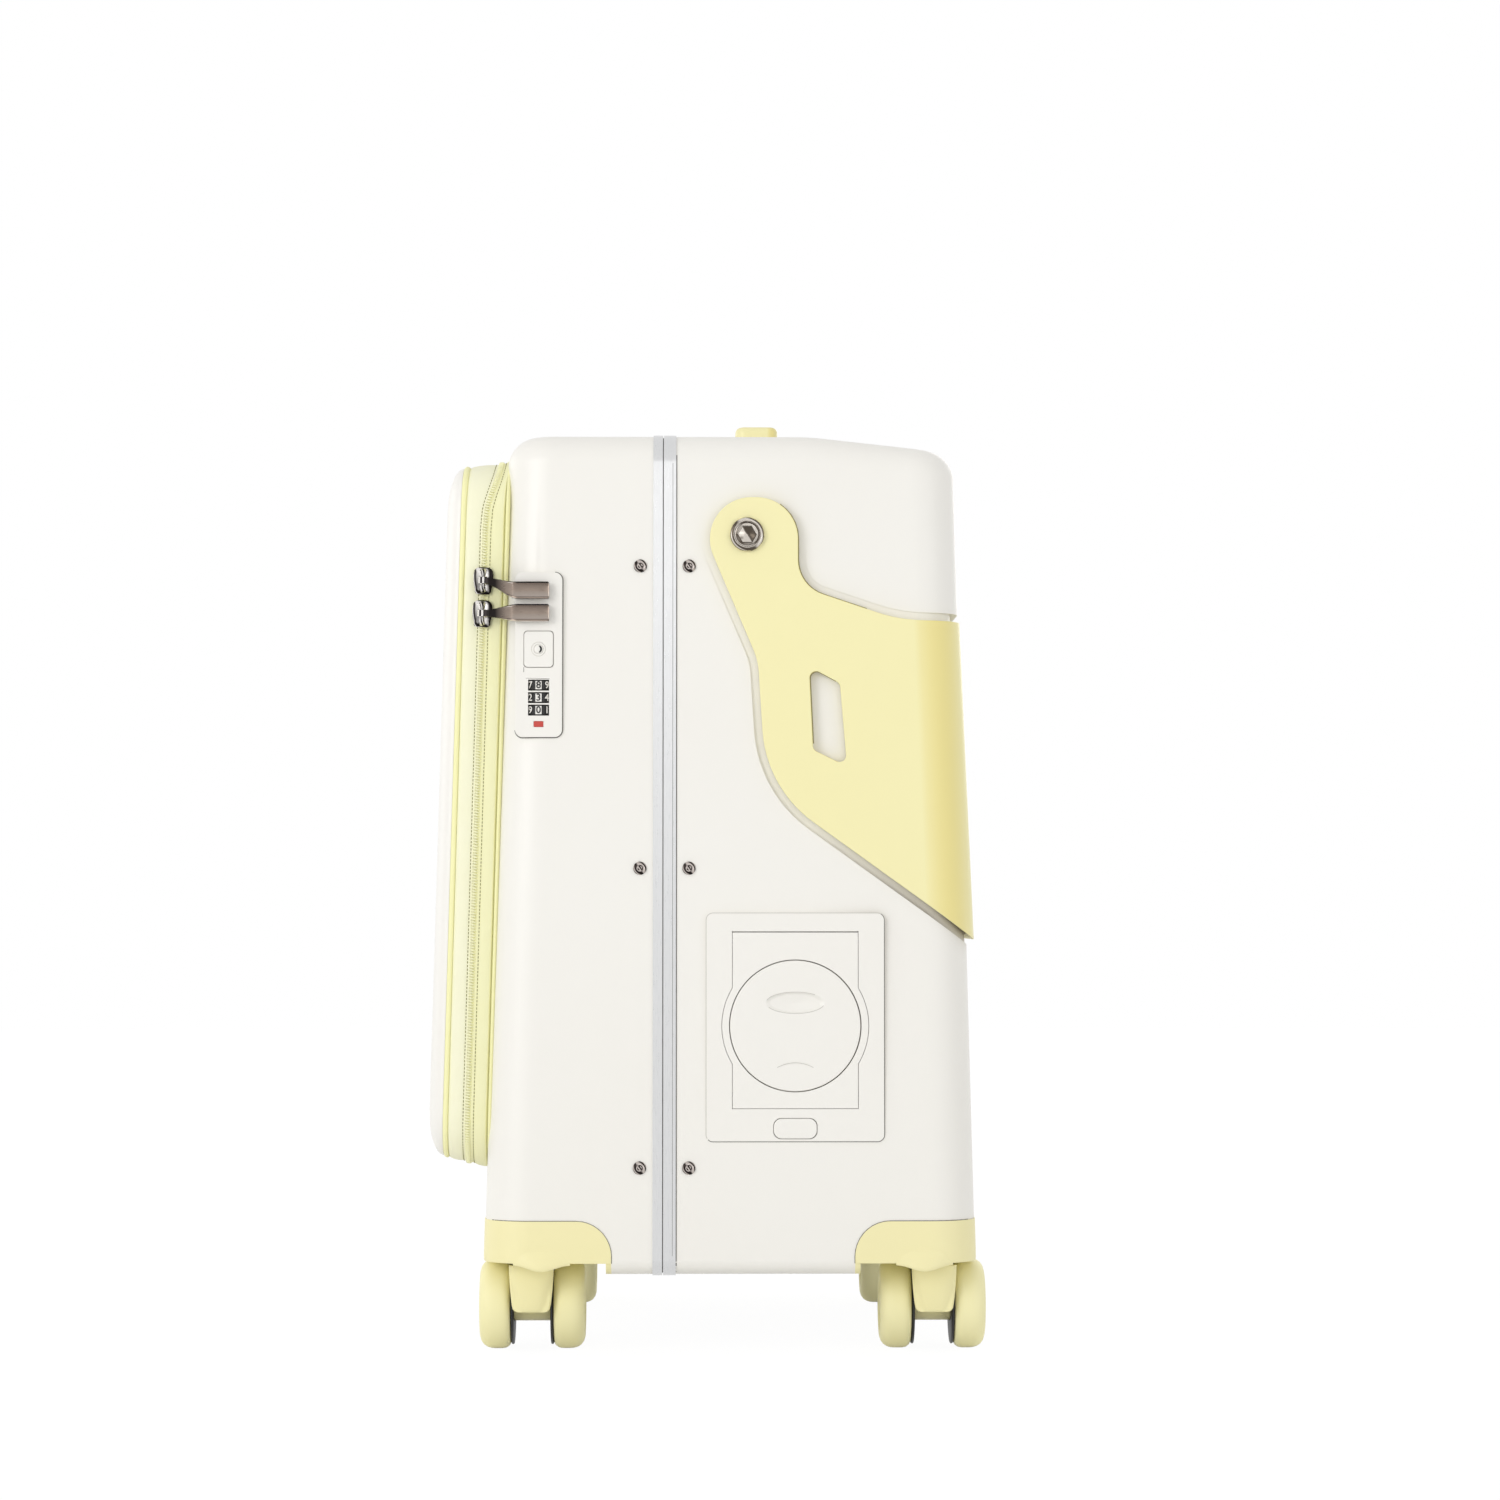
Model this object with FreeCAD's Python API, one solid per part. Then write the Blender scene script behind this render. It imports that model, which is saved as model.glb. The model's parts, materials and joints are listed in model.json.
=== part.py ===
import FreeCAD, Part
import math
import os

# A child's ride-on suitcase: a two-shell hard case with an aluminium frame, a zipped front lid,
# a swinging seat rail, a fold-out cup holder, a pull handle and four twin-wheel casters.
# Millimetres. +Z is up, +X is the back of the case, -Y is the side with the lock.
# The origin is on the floor, under the middle of the whole case.

Vec = FreeCAD.Vector

# Case body. Reaches along X are measured from the seam between the two frame profiles.
case_bottom = 48.6
case_top = 553.0
top_bend_reach = 88.0
top_bend_radius = 150.0
top_fall = 9.7
back_reach_bottom = 188.6
back_reach_top = 176.2
front_reach_bottom = 107.6
front_reach_top = 94.1
width_at_pivot = 360.0
side_lean = 0.015
corner_radius = 28.0
top_round = 18.0
bottom_round = 9.0
shell_wall = 3.2

# Aluminium frame between the shells.
front_profile_width = 6.0
rear_profile_width = 7.8
profile_seam = 0.6
profile_proud = 0.8
profile_depth = 11.0
profile_flange = 11.5
profile_sheet = 1.6
rivet_head_radius = 4.0
rivet_head_height = 1.6
rivet_head_round = 1.1
rivet_shank_radius = 1.8
rivet_inset = 7.8
side_rivet_heights = (472.8, 291.0, 112.2)
top_rivet_places = (-120.0, 0.0, 120.0)

# Seat rail that swings over the case.
pivot_reach = 50.4
pivot_height = 491.4
rail_wall = 4.5
rail_clearance = 1.2
rail_corner_radius = 24.0
rail_knob_top = 514.0
rail_knob_front_reach = 15.2
rail_knob_back_reach = 81.0
rail_knob_radius = 25.0
rail_neck_front_reach = 57.0
rail_neck_height = 415.8
rail_neck_radius = 40.0
rail_elbow_reach = 61.8
rail_elbow_height = 339.0
rail_elbow_radius = 74.0
rail_tip_height = 251.0
rail_tip_reach = 184.2
rail_crook_height = 460.5
rail_crook_radius = 22.0
rail_shoulder_reach = 142.4
rail_shoulder_radius = 90.0
rail_back_top_height = 440.0
rail_floor_reach_top = 174.2
rail_floor_slope = 0.0433
recess_margin = 5.0
window_corner_reaches = (87.6, 106.2, 110.4, 90.0)
window_corner_heights = (412.0, 402.0, 352.0, 362.0)
window_corner_radius = 4.0
bolt_radius = 5.0
bolt_head_radius = 10.2
bolt_head_height = 3.0
bolt_socket_radius = 5.4
bolt_socket_depth = 1.8
bush_sleeve_radius = 7.0
bush_flange_radius = 11.0
nut_radius = 9.0
nut_height = 6.0
running_clearance = 0.05
side_play = 0.2

# Front lid and its zip. Depths are measured out from the front face of the case.
lid_bottom = 110.0
lid_height = 432.0
lid_width = 332.0
lid_corner_radius = 34.0
lid_wall = 2.6
lid_draw_in = 6.0
lid_crown_run = 26.0
lid_crown_radius = 12.0
tape_depth = 11.5
teeth_depth = 0.85
teeth_gap = 0.3
teeth_proud = 0.8
band_depth = 11.0
piping_depth = 3.2
piping_proud = 1.0
lid_shell_depth = 9.6
fabric_thickness = 2.0
front_opening_margin = 16.0
front_opening_radius = 26.0
hinge_bead_radius = 0.9
slider_width = 11.0
slider_length = 15.5
slider_height = 3.4
slider_clearance = 0.5
slider_round = 2.7
slider_heights = (464.5, 444.5)
pull_heights = (457.5, 444.0)
pull_pin_radius = 1.2
pull_eye_radius = 2.6
pull_eye_height = 5.0
pull_bar_width = 10.5
pull_bar_thickness = 2.0
pull_bar_length = 26.0
pull_end_reach = 68.4
pull_stand_off = 5.0
pull_bar_round = 1.3
pull_rim = 1.0
pull_tray_depth = 0.5
pull_neck_root = 2.1
pull_neck_width = 7.0
slider_bail_stand_off = 3.4
slider_lug = 1.8

# Combination lock on the side of the front shell.
lock_reach = 74.7
lock_width = 28.2
lock_bottom = 369.6
lock_height = 99.0
lock_corner_radius = 4.5
lock_proud = 2.2
lock_plate_thickness = 3.8
lock_body_margin = 4.0
lock_body_depth = 16.0
lock_button_width = 17.4
lock_button_height = 21.6
lock_button_middle = 422.4
lock_button_thickness = 5.0
lock_button_proud = 0.8
lock_button_travel = 1.5
key_core_radius = 4.2
key_core_length = 6.0
key_slot_width = 1.2
key_slot_height = 5.0
dial_radius = 8.5
dial_width = 6.0
dial_heights = (400.8, 393.3, 385.8)
dial_shaft_radius = 1.6
dial_proud = 0.4
dial_window_width = 12.6
indicator_width = 6.0
indicator_height = 3.6
indicator_middle = 377.4
fit_clearance = 0.3

# Fold-out cup holder on the side of the rear shell.
cup_reach = 79.2
cup_height = 196.8
bezel_width = 106.2
bezel_bottom = 128.0
bezel_top = 264.0
bezel_corner_radius = 4.0
bezel_proud = 1.8
bezel_plate = 3.3
bezel_wall = 2.2
bezel_box_depth = 17.0
ring_plate_width = 75.0
ring_plate_bottom = 147.6
ring_plate_top = 252.6
ring_plate_thickness = 4.5
ring_bulge_radius = 43.8
ring_hole_radius = 39.6
base_disc_radius = 38.4
base_disc_thickness = 4.0
ring_pivot_depth = 2.25
ring_pivot_height = 247.0
ring_top_gap = 0.8
ring_pin_radius = 1.0
ring_pin_length = 12.0
base_pivot_depth = 7.0
base_pivot_height = 155.5
base_pin_radius = 1.4
base_ear_radius = 2.2
base_arm_height = 17.0
base_arm_inset = 1.5
base_arm_width = 22.0
scoop_length = 33.0
scoop_height = 12.0
scoop_depth = 1.6
scoop_lift = 13.8
cup_button_width = 25.8
cup_button_height = 12.0
cup_button_round = 4.8
cup_button_middle = 135.6
cup_button_thickness = 6.0
cup_button_proud = 0.8
cup_button_travel = 2.0

# Pull handle inside the back wall.
trolley_reach = 134.0
trolley_spacing = 140.0
outer_tube_radius = 10.0
tube_wall = 1.2
tube_clearance = 0.1
tube_bottom = 58.0
tube_step = 6.0
foot_height = 18.0
foot_margin = 4.0
housing_width = 36.0
housing_length = 200.0
housing_sink = 2.0
housing_depth = 35.0
housing_wall = 3.0
housing_flange = 4.0
housing_flange_thickness = 1.6
grip_width = 16.0
grip_length = 176.0
grip_thickness = 14.0
grip_top = 552.0
grip_round = 5.0
grip_button_width = 9.0
grip_button_length = 30.0
grip_button_proud = 1.2
grip_button_travel = 2.0
grip_button_thickness = 5.0

# Carry handle on the top.
carry_reach = 57.3
carry_width = 26.0
carry_length = 220.0
carry_top = 566.0
carry_thickness = 9.0
carry_round = 3.5
carry_leg_length = 26.0
carry_leg_thickness = 12.0
carry_leg_width = 20.0
carry_tray_width = 40.0
carry_tray_length = 246.0
carry_tray_depth = 28.0
carry_tray_wall = 2.4
carry_tray_flange = 3.0

# Casters and the corner guards that hold them.
caster_front_reach = 79.0
caster_back_reach = 163.3
caster_axis_side = 147.0
caster_trail = 12.0
wheel_radius = 27.0
wheel_width = 19.0
wheel_gap = 25.6
wheel_round = 6.0
wheel_dish_radius = 15.0
wheel_dish_depth = 2.5
axle_radius = 3.0
axle_end_inset = 3.5
stem_radius = 5.0
stem_head_radius = 7.5
stem_head_height = 3.0
bearing_radius = 9.0
fork_flange_radius = 11.4
fork_flange_height = 3.0
fork_wall_gap = 1.0
fork_nose_reach = 32.0
fork_nose_width = 29.0
fork_nose_tip_width = 16.6
fork_nose_thickness = 3.6
fork_hub_radius = 9.0
pocket_lift = 55.5
pocket_half = 48.4
guard_top = 80.5
guard_round = 21.0
guard_proud = 0.5
guard_wall = 3.2
guard_plate = 6.0
guard_boss_radius = 11.4
guard_boss_drop = 2.5
swivel_gap = 0.3

# Worked out from the sizes above.
lean_angle = math.degrees(math.atan((front_reach_bottom - front_reach_top) / (case_top - case_bottom)))
lid_depth = tape_depth + 2 * teeth_depth + teeth_gap + band_depth + piping_depth + lid_shell_depth
back_extent = caster_back_reach + wheel_gap / 2 + wheel_width
face_reach_at_lid = front_reach_bottom - (lid_bottom - case_bottom) * math.tan(math.radians(lean_angle))
front_extent = (
    face_reach_at_lid
    + lid_depth * math.cos(math.radians(lean_angle))
    - (lid_draw_in + lid_crown_run) * math.sin(math.radians(lean_angle))
)
seam = (front_extent - back_extent) / 2
far = 400.0


def front_face(z):
    share = (z - case_bottom) / (case_top - case_bottom)
    return seam - front_reach_bottom - (front_reach_top - front_reach_bottom) * share


def back_face(z):
    share = (z - case_bottom) / (case_top - case_bottom)
    return seam + back_reach_bottom + (back_reach_top - back_reach_bottom) * share


def half_width(z):
    return width_at_pivot / 2 + side_lean * (pivot_height - z)


# Building blocks.

def box(x0, x1, y0, y1, z0, z1):
    return Part.makeBox(x1 - x0, y1 - y0, z1 - z0, Vec(x0, y0, z0))


def rod_x(x0, x1, y, z, radius):
    return Part.makeCylinder(radius, x1 - x0, Vec(x0, y, z), Vec(1, 0, 0))


def rod_y(y0, y1, x, z, radius):
    return Part.makeCylinder(radius, y1 - y0, Vec(x, y0, z), Vec(0, 1, 0))


def rod_z(z0, z1, x, y, radius):
    return Part.makeCylinder(radius, z1 - z0, Vec(x, y, z0), Vec(0, 0, 1))


def rounded_wire(corners, radii):
    """A closed outline through the corners, each rounded by its own radius (0 leaves it sharp)."""
    count = len(corners)
    starts = []
    ends = []
    middles = []
    for i in range(count):
        corner = corners[i]
        to_last = (corners[i - 1] - corner).normalize()
        to_next = (corners[(i + 1) % count] - corner).normalize()
        half_angle = to_last.getAngle(to_next) / 2
        reach = radii[i] / math.tan(half_angle)
        starts.append(corner + to_last * reach)
        ends.append(corner + to_next * reach)
        bisector = (to_last + to_next).normalize()
        middles.append(corner + bisector * (radii[i] / math.sin(half_angle) - radii[i]))
    edges = []
    for i in range(count):
        if radii[i] > 0:
            edges.append(Part.Arc(starts[i], middles[i], ends[i]).toShape())
        edges.append(Part.LineSegment(ends[i], starts[(i + 1) % count]).toShape())
    return Part.Wire(edges)


def rectangle_z(x0, x1, y0, y1, z, radius):
    """A rounded rectangle lying flat at height z."""
    corners = [Vec(x0, y0, z), Vec(x1, y0, z), Vec(x1, y1, z), Vec(x0, y1, z)]
    return rounded_wire(corners, [radius] * 4)


def rectangle_x(x, y0, y1, z0, z1, radius):
    """A rounded rectangle standing across X."""
    corners = [Vec(x, y0, z0), Vec(x, y1, z0), Vec(x, y1, z1), Vec(x, y0, z1)]
    return rounded_wire(corners, [radius] * 4)


def plate_y(x0, x1, z0, z1, y0, y1, radius):
    """A rounded plate standing across Y."""
    corners = [Vec(x0, y0, z0), Vec(x1, y0, z0), Vec(x1, y0, z1), Vec(x0, y0, z1)]
    return Part.Face(rounded_wire(corners, [radius] * 4)).extrude(Vec(0, y1 - y0, 0))


def prism_y(corners, radii, y0, y1):
    """An outline of (x, z) corners, drawn out along Y."""
    outline = [Vec(x, y0, z) for x, z in corners]
    return Part.Face(rounded_wire(outline, radii)).extrude(Vec(0, y1 - y0, 0))


def slab_z(x0, x1, y0, y1, z0, z1, radius):
    """A block with rounded upright edges."""
    return Part.Face(rectangle_z(x0, x1, y0, y1, z0, radius)).extrude(Vec(0, 0, z1 - z0))


def edges_at(solid, axis, value):
    """The edges that lie wholly at one x, y or z."""
    found = []
    for edge in solid.Edges:
        places = [getattr(vertex.Point, axis) for vertex in edge.Vertexes]
        if all(abs(place - value) < 1e-4 for place in places):
            found.append(edge)
    return found


def fuse(solids):
    whole = solids[0].multiFuse(solids[1:])
    return whole.removeSplitter()


def mirror_y(solid):
    return solid.mirror(Vec(0, 0, 0), Vec(0, 1, 0))


def hexagon_y(x, z, radius, y0, y1):
    corners = []
    for i in range(6):
        angle = math.radians(60 * i)
        corners.append((x + radius * math.cos(angle), z + radius * math.sin(angle)))
    return prism_y(corners, [0] * 6, y0, y1)


nodes = {}


def keep(name, *solids):
    """Put one sub-part, of one or more solids, on the list to be written out."""
    nodes[name] = solids[0] if len(solids) == 1 else Part.makeCompound(list(solids))


# Outer form of the case.

def rim_of_top(block):
    """The edges round the top of a block, whose top may bend and fall."""
    rim = []
    for face in block.Faces:
        u0, u1, v0, v1 = face.ParameterRange
        if face.normalAt((u0 + u1) / 2, (v0 + v1) / 2).z < 0.9:
            continue
        for edge in face.Edges:
            shared = [other for other in rim if other.isSame(edge)]
            if shared:
                rim.remove(shared[0])
            else:
                rim.append(edge)
    return rim


def case_block(grow):
    """The closed form of the whole case, grown outwards or drawn in all round."""
    low = case_bottom - grow
    high = case_top + grow
    back_high = high - top_fall
    side_view = [
        (front_face(low) - grow, low), (back_face(low) + grow, low), (back_face(back_high) + grow, back_high),
        (seam + top_bend_reach, high), (front_face(high) - grow, high),
    ]
    side_radii = [0, 0, 0, top_bend_radius + grow, 0]
    end_view = [
        Vec(-far, -half_width(low) - grow, low), Vec(-far, half_width(low) + grow, low),
        Vec(-far, half_width(high) + grow, high), Vec(-far, -half_width(high) - grow, high),
    ]
    end_prism = Part.Face(Part.makePolygon(end_view + [end_view[0]])).extrude(Vec(2 * far, 0, 0))
    block = prism_y(side_view, side_radii, -far, far).common(end_prism)
    uprights = []
    for edge in block.Edges:
        if edge.BoundBox.ZLength > (high - low) / 2:
            uprights.append(edge)
    block = block.makeFillet(corner_radius + grow, uprights)
    block = block.makeFillet(top_round + grow, rim_of_top(block))
    low_radius = max(bottom_round + grow, bottom_round / 4)
    return block.makeFillet(low_radius, edges_at(block, "z", low))


outer_case = case_block(0)
inner_case = case_block(-shell_wall)

# The seat rail's outline seen from the side, and the forms inside and outside its band.

pivot_x = seam + pivot_reach


def rail_outline(margin):
    """The rail's side outline as a face across Y, grown by a margin."""
    slope = (rail_elbow_height - rail_tip_height) / (rail_tip_reach - rail_elbow_reach)
    end_reach = rail_tip_reach + corner_radius
    end_height = rail_tip_height - slope * corner_radius
    corners = [
        Vec(seam + rail_knob_front_reach, 0, rail_knob_top),
        Vec(seam + rail_knob_back_reach, 0, rail_knob_top),
        Vec(seam + rail_knob_back_reach, 0, rail_crook_height),
        Vec(seam + rail_shoulder_reach, 0, rail_back_top_height),
        Vec(seam + end_reach, 0, rail_back_top_height),
        Vec(seam + end_reach, 0, end_height),
        Vec(seam + rail_elbow_reach, 0, rail_elbow_height),
        Vec(seam + rail_neck_front_reach, 0, rail_neck_height),
    ]
    radii = [rail_knob_radius, rail_knob_radius, rail_crook_radius, rail_shoulder_radius, 0, 0,
             rail_elbow_radius, rail_neck_radius]
    face = Part.Face(rounded_wire(corners, radii))
    if margin > 0:
        face = face.makeOffset2D(margin)
    return face


def rail_prism(margin):
    face = rail_outline(margin)
    face.translate(Vec(0, -far, 0))
    return face.extrude(Vec(0, 2 * far, 0))


def rail_block(grow):
    """The upright block that the rail's band wraps round, with rounded back corners."""
    low = case_bottom - far / 4
    high = case_top + far / 4
    back_low = seam + rail_floor_reach_top + (rail_back_top_height - low) * rail_floor_slope + grow
    back_high = seam + rail_floor_reach_top + (rail_back_top_height - high) * rail_floor_slope + grow
    side = width_at_pivot / 2 + grow
    corners = [(seam - far, low), (back_low, low), (back_high, high), (seam - far, high)]
    block = prism_y(corners, [0] * 4, -side, side)
    back_edges = []
    for edge in block.Edges:
        if len(edge.Vertexes) == 2 and edge.BoundBox.XMin > seam and edge.BoundBox.ZLength > far / 4:
            back_edges.append(edge)
    return block.makeFillet(rail_corner_radius + grow, back_edges)


recess = rail_prism(recess_margin).cut(rail_block(0))
recess_backing = rail_prism(recess_margin + shell_wall).cut(rail_block(-shell_wall))
case_hollow = inner_case.cut(recess_backing)
shells = outer_case.cut(recess).cut(case_hollow)

# Aluminium frame: two profiles that hold the shell edges, a seal between them, and rivets.

front_profile_front = seam - front_profile_width
rear_profile_back = seam + rear_profile_width
profile_ring = case_block(profile_proud).cut(case_block(-profile_depth))
flange_ring = inner_case.cut(case_block(-shell_wall - profile_sheet))
front_profile = fuse([
    profile_ring.common(box(front_profile_front, seam - profile_seam / 2, -far, far, 0, 2 * far)),
    flange_ring.common(box(front_profile_front - profile_flange, front_profile_front, -far, far, 0, 2 * far)),
])
rear_profile = fuse([
    profile_ring.common(box(seam + profile_seam / 2, rear_profile_back, -far, far, 0, 2 * far)),
    flange_ring.common(box(rear_profile_back, rear_profile_back + profile_flange, -far, far, 0, 2 * far)),
])
seal_ring = case_block(-profile_proud).cut(case_block(-profile_depth))
frame_seal = seal_ring.common(
    box(seam - profile_seam / 2, seam + profile_seam / 2, -far, far, 0, 2 * far))

front_shell = shells.common(box(-far, front_profile_front, -far, far, 0, 2 * far))
rear_shell = shells.common(box(rear_profile_back, far, -far, far, 0, 2 * far))

rivet_lines = (front_profile_front - rivet_inset, rear_profile_back + rivet_inset)
rivets = []
rivet_holes = []
rivet_length = shell_wall + profile_sheet


def rivet_solid(foot, outward):
    """A round-headed rivet whose head sits on the surface at its foot."""
    shank = Part.makeCylinder(rivet_shank_radius, rivet_length, foot, outward * -1)
    head = Part.makeCylinder(rivet_head_radius, rivet_head_height, foot, outward)
    top_edge = []
    for edge in head.Edges:
        if len(edge.Vertexes) == 1 and (edge.CenterOfMass - foot).dot(outward) > rivet_head_height / 2:
            top_edge.append(edge)
    head = head.makeFillet(rivet_head_round, top_edge)
    return shank.fuse(head).removeSplitter(), shank


for rivet_x in rivet_lines:
    for rivet_z in side_rivet_heights:
        for side in (-1, 1):
            foot = Vec(rivet_x, side * half_width(rivet_z - rivet_head_radius), rivet_z)
            solid, hole = rivet_solid(foot, Vec(0, side, 0))
            rivets.append(solid)
            rivet_holes.append(hole)
    for rivet_y in top_rivet_places:
        solid, hole = rivet_solid(Vec(rivet_x, rivet_y, case_top), Vec(0, 0, 1))
        rivets.append(solid)
        rivet_holes.append(hole)

all_holes = Part.makeCompound(rivet_holes)
front_shell = front_shell.cut(all_holes)
rear_shell = rear_shell.cut(all_holes)
front_profile = front_profile.cut(all_holes)
rear_profile = rear_profile.cut(all_holes)

# Seat rail with its bushes, bolts and nuts.

rail_inner = width_at_pivot / 2 + rail_clearance
rail_outer = rail_inner + rail_wall
rail_band = rail_prism(0).common(rail_block(rail_clearance + rail_wall).cut(rail_block(rail_clearance)))
window_corners = []
for reach, height in zip(window_corner_reaches, window_corner_heights):
    window_corners.append((seam + reach, height))
rail_band = rail_band.cut(prism_y(window_corners, [window_corner_radius] * 4, -far, far))
rail_band = rail_band.cut(rod_y(-far, far, pivot_x, pivot_height, bush_sleeve_radius))

bush = fuse([
    rod_y(rail_inner, rail_outer, pivot_x, pivot_height, bush_sleeve_radius),
    rod_y(rail_inner - rail_clearance + running_clearance, rail_inner, pivot_x, pivot_height,
          bush_flange_radius),
]).cut(rod_y(0, far, pivot_x, pivot_height, bolt_radius + running_clearance))

bolt_head_inner = rail_outer + side_play
bolt_head_outer = bolt_head_inner + bolt_head_height
nut_outer = width_at_pivot / 2 - shell_wall - side_play
nut_inner = nut_outer - nut_height
bolt_head = rod_y(bolt_head_inner, bolt_head_outer, pivot_x, pivot_height, bolt_head_radius)
bolt_head = bolt_head.makeFillet(bolt_head_height / 3, edges_at(bolt_head, "y", bolt_head_outer))
bolt = fuse([bolt_head, rod_y(nut_inner, bolt_head_inner, pivot_x, pivot_height, bolt_radius)])
bolt = bolt.cut(hexagon_y(pivot_x, pivot_height, bolt_socket_radius,
                          bolt_head_outer - bolt_socket_depth, bolt_head_outer))
nut = hexagon_y(pivot_x, pivot_height, nut_radius, nut_inner, nut_outer)
nut = nut.cut(rod_y(0, far, pivot_x, pivot_height, bolt_radius))
rear_shell = rear_shell.cut(rod_y(-far, far, pivot_x, pivot_height, bolt_radius))

keep("rail_band", rail_band)
keep("rail_bushes", bush, mirror_y(bush))
keep("pivot_bolts", bolt, mirror_y(bolt))
keep("pivot_nuts", nut, mirror_y(nut))

# Corner guards, casters and their bearings.

caster_places = {
    "front_near": (seam - caster_front_reach, -1, -1),
    "front_far": (seam - caster_front_reach, -1, 1),
    "back_near": (seam + caster_back_reach, 1, -1),
    "back_far": (seam + caster_back_reach, 1, 1),
}
guard_case = case_block(guard_proud)
guard_hollow = case_block(guard_proud - guard_wall)


def corner_region(x, along, side, shrink):
    """The corner of the case that a guard covers, rounded where its edges meet the shell."""
    half = pocket_half - shrink
    x0, x1 = (x - far, x + half) if along < 0 else (x - half, x + far)
    y_axis = side * caster_axis_side
    y0, y1 = (y_axis - far, y_axis + half) if side < 0 else (y_axis - half, y_axis + far)
    region = box(x0, x1, y0, y1, 0, guard_top - shrink)
    inner_x = x - along * half
    inner_y = y_axis - side * half
    edges = []
    for edge in edges_at(region, "z", guard_top - shrink):
        middle = edge.CenterOfMass
        if abs(middle.x - inner_x) < 1e-4 or abs(middle.y - inner_y) < 1e-4:
            edges.append(edge)
    return region.makeFillet(guard_round - shrink, edges)


bearings = []
plate_top = pocket_lift + guard_plate
boss_bottom = pocket_lift - guard_boss_drop
flange_top = boss_bottom - swivel_gap
flange_bottom = flange_top - fork_flange_height


def corner_guard(x, along, side, region):
    y = side * caster_axis_side
    inner_region = corner_region(x, along, side, guard_wall)
    above = box(-far, far, -far, far, pocket_lift, 2 * far)
    skin = guard_case.cut(guard_hollow).common(region).common(above)
    plate = guard_case.common(region).common(box(-far, far, -far, far, pocket_lift, plate_top))
    step = outer_case.common(region.cut(inner_region)).common(
        box(-far, far, -far, far, case_bottom, plate_top))
    boss = rod_z(boss_bottom, plate_top, x, y, guard_boss_radius)
    guard = fuse([skin, plate, step, boss])
    return guard.cut(rod_z(0, far, x, y, bearing_radius))


def fork_solid(x, side):
    """Swivel fork: stem, flange, a web between the wheels and a nose plate in front of them."""
    y = side * caster_axis_side
    axle_y = y - side * caster_trail
    web = wheel_gap / 2 - fork_wall_gap
    nose_y = axle_y + side * fork_nose_reach
    nose_back = nose_y - side * fork_nose_thickness
    top = flange_top
    stem = rod_z(flange_bottom, plate_top + swivel_gap, x, y, stem_radius)
    head = rod_z(plate_top + swivel_gap, plate_top + swivel_gap + stem_head_height, x, y, stem_head_radius)
    flange = rod_z(flange_bottom, flange_top, x, y, fork_flange_radius)
    hub = rod_x(x - web, x + web, axle_y, wheel_radius, fork_hub_radius)
    web_profile = [
        Vec(x - web, nose_back, top),
        Vec(x - web, nose_back, wheel_radius),
        Vec(x - web, axle_y, wheel_radius - fork_hub_radius),
        Vec(x - web, axle_y - side * fork_hub_radius, wheel_radius),
        Vec(x - web, y - side * fork_flange_radius, top),
    ]
    web_solid = Part.Face(Part.makePolygon(web_profile + [web_profile[0]])).extrude(Vec(2 * web, 0, 0))
    half_nose = fork_nose_width / 2
    half_tip = fork_nose_tip_width / 2
    nose_profile = [
        Vec(x - half_nose, nose_back, top),
        Vec(x + half_nose, nose_back, top),
        Vec(x + half_nose, nose_back, wheel_radius + fork_hub_radius),
        Vec(x + half_tip, nose_back, wheel_radius - fork_hub_radius / 2),
        Vec(x - half_tip, nose_back, wheel_radius - fork_hub_radius / 2),
        Vec(x - half_nose, nose_back, wheel_radius + fork_hub_radius),
    ]
    nose = Part.Face(Part.makePolygon(nose_profile + [nose_profile[0]])).extrude(
        Vec(0, side * fork_nose_thickness, 0))
    fork = fuse([stem, head, flange, hub, web_solid, nose])
    bore = rod_x(x - far, x + far, axle_y, wheel_radius, axle_radius + running_clearance)
    return fork.cut(bore)


def wheel_solid(x0, y, outward):
    """One wheel with rounded shoulders and a dished outer face."""
    wheel = rod_x(x0, x0 + wheel_width, y, wheel_radius, wheel_radius)
    rims = [edge for edge in wheel.Edges if len(edge.Vertexes) == 1]
    wheel = wheel.makeFillet(wheel_round, rims)
    dish_start = x0 + wheel_width - wheel_dish_depth if outward > 0 else x0
    dish = rod_x(dish_start, dish_start + wheel_dish_depth, y, wheel_radius, wheel_dish_radius)
    return wheel.cut(dish).cut(rod_x(x0, x0 + wheel_width, y, wheel_radius, axle_radius))


for place, (x, along, side) in caster_places.items():
    y = side * caster_axis_side
    axle_y = y - side * caster_trail
    region = corner_region(x, along, side, 0)
    front_shell = front_shell.cut(region)
    rear_shell = rear_shell.cut(region)
    keep(place + "_corner_guard", corner_guard(x, along, side, region))
    bearing = rod_z(boss_bottom, plate_top, x, y, bearing_radius)
    bearings.append(bearing.cut(rod_z(0, far, x, y, stem_radius + running_clearance)))
    keep(place + "_fork", fork_solid(x, side))
    inner = wheel_gap / 2
    outer = inner + wheel_width
    keep(place + "_wheels", wheel_solid(x - outer, axle_y, -1), wheel_solid(x + inner, axle_y, 1))
    axle_half = outer - axle_end_inset
    keep(place + "_axle", rod_x(x - axle_half, x + axle_half, axle_y, wheel_radius, axle_radius))

keep("swivel_bearings", *bearings)
keep("front_frame", front_profile)
keep("rear_frame", rear_profile)
keep("frame_seal", frame_seal)
keep("frame_rivets", *rivets)

# Front lid. It is drawn upright, then leaned to lie on the sloping front face of the case.
# Depth is measured outwards from that face, so it runs along -X.

fabric_depth = lid_depth - lid_shell_depth
lid_half = lid_width / 2
lid_foot = Vec(front_face(lid_bottom), 0, lid_bottom)


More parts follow.
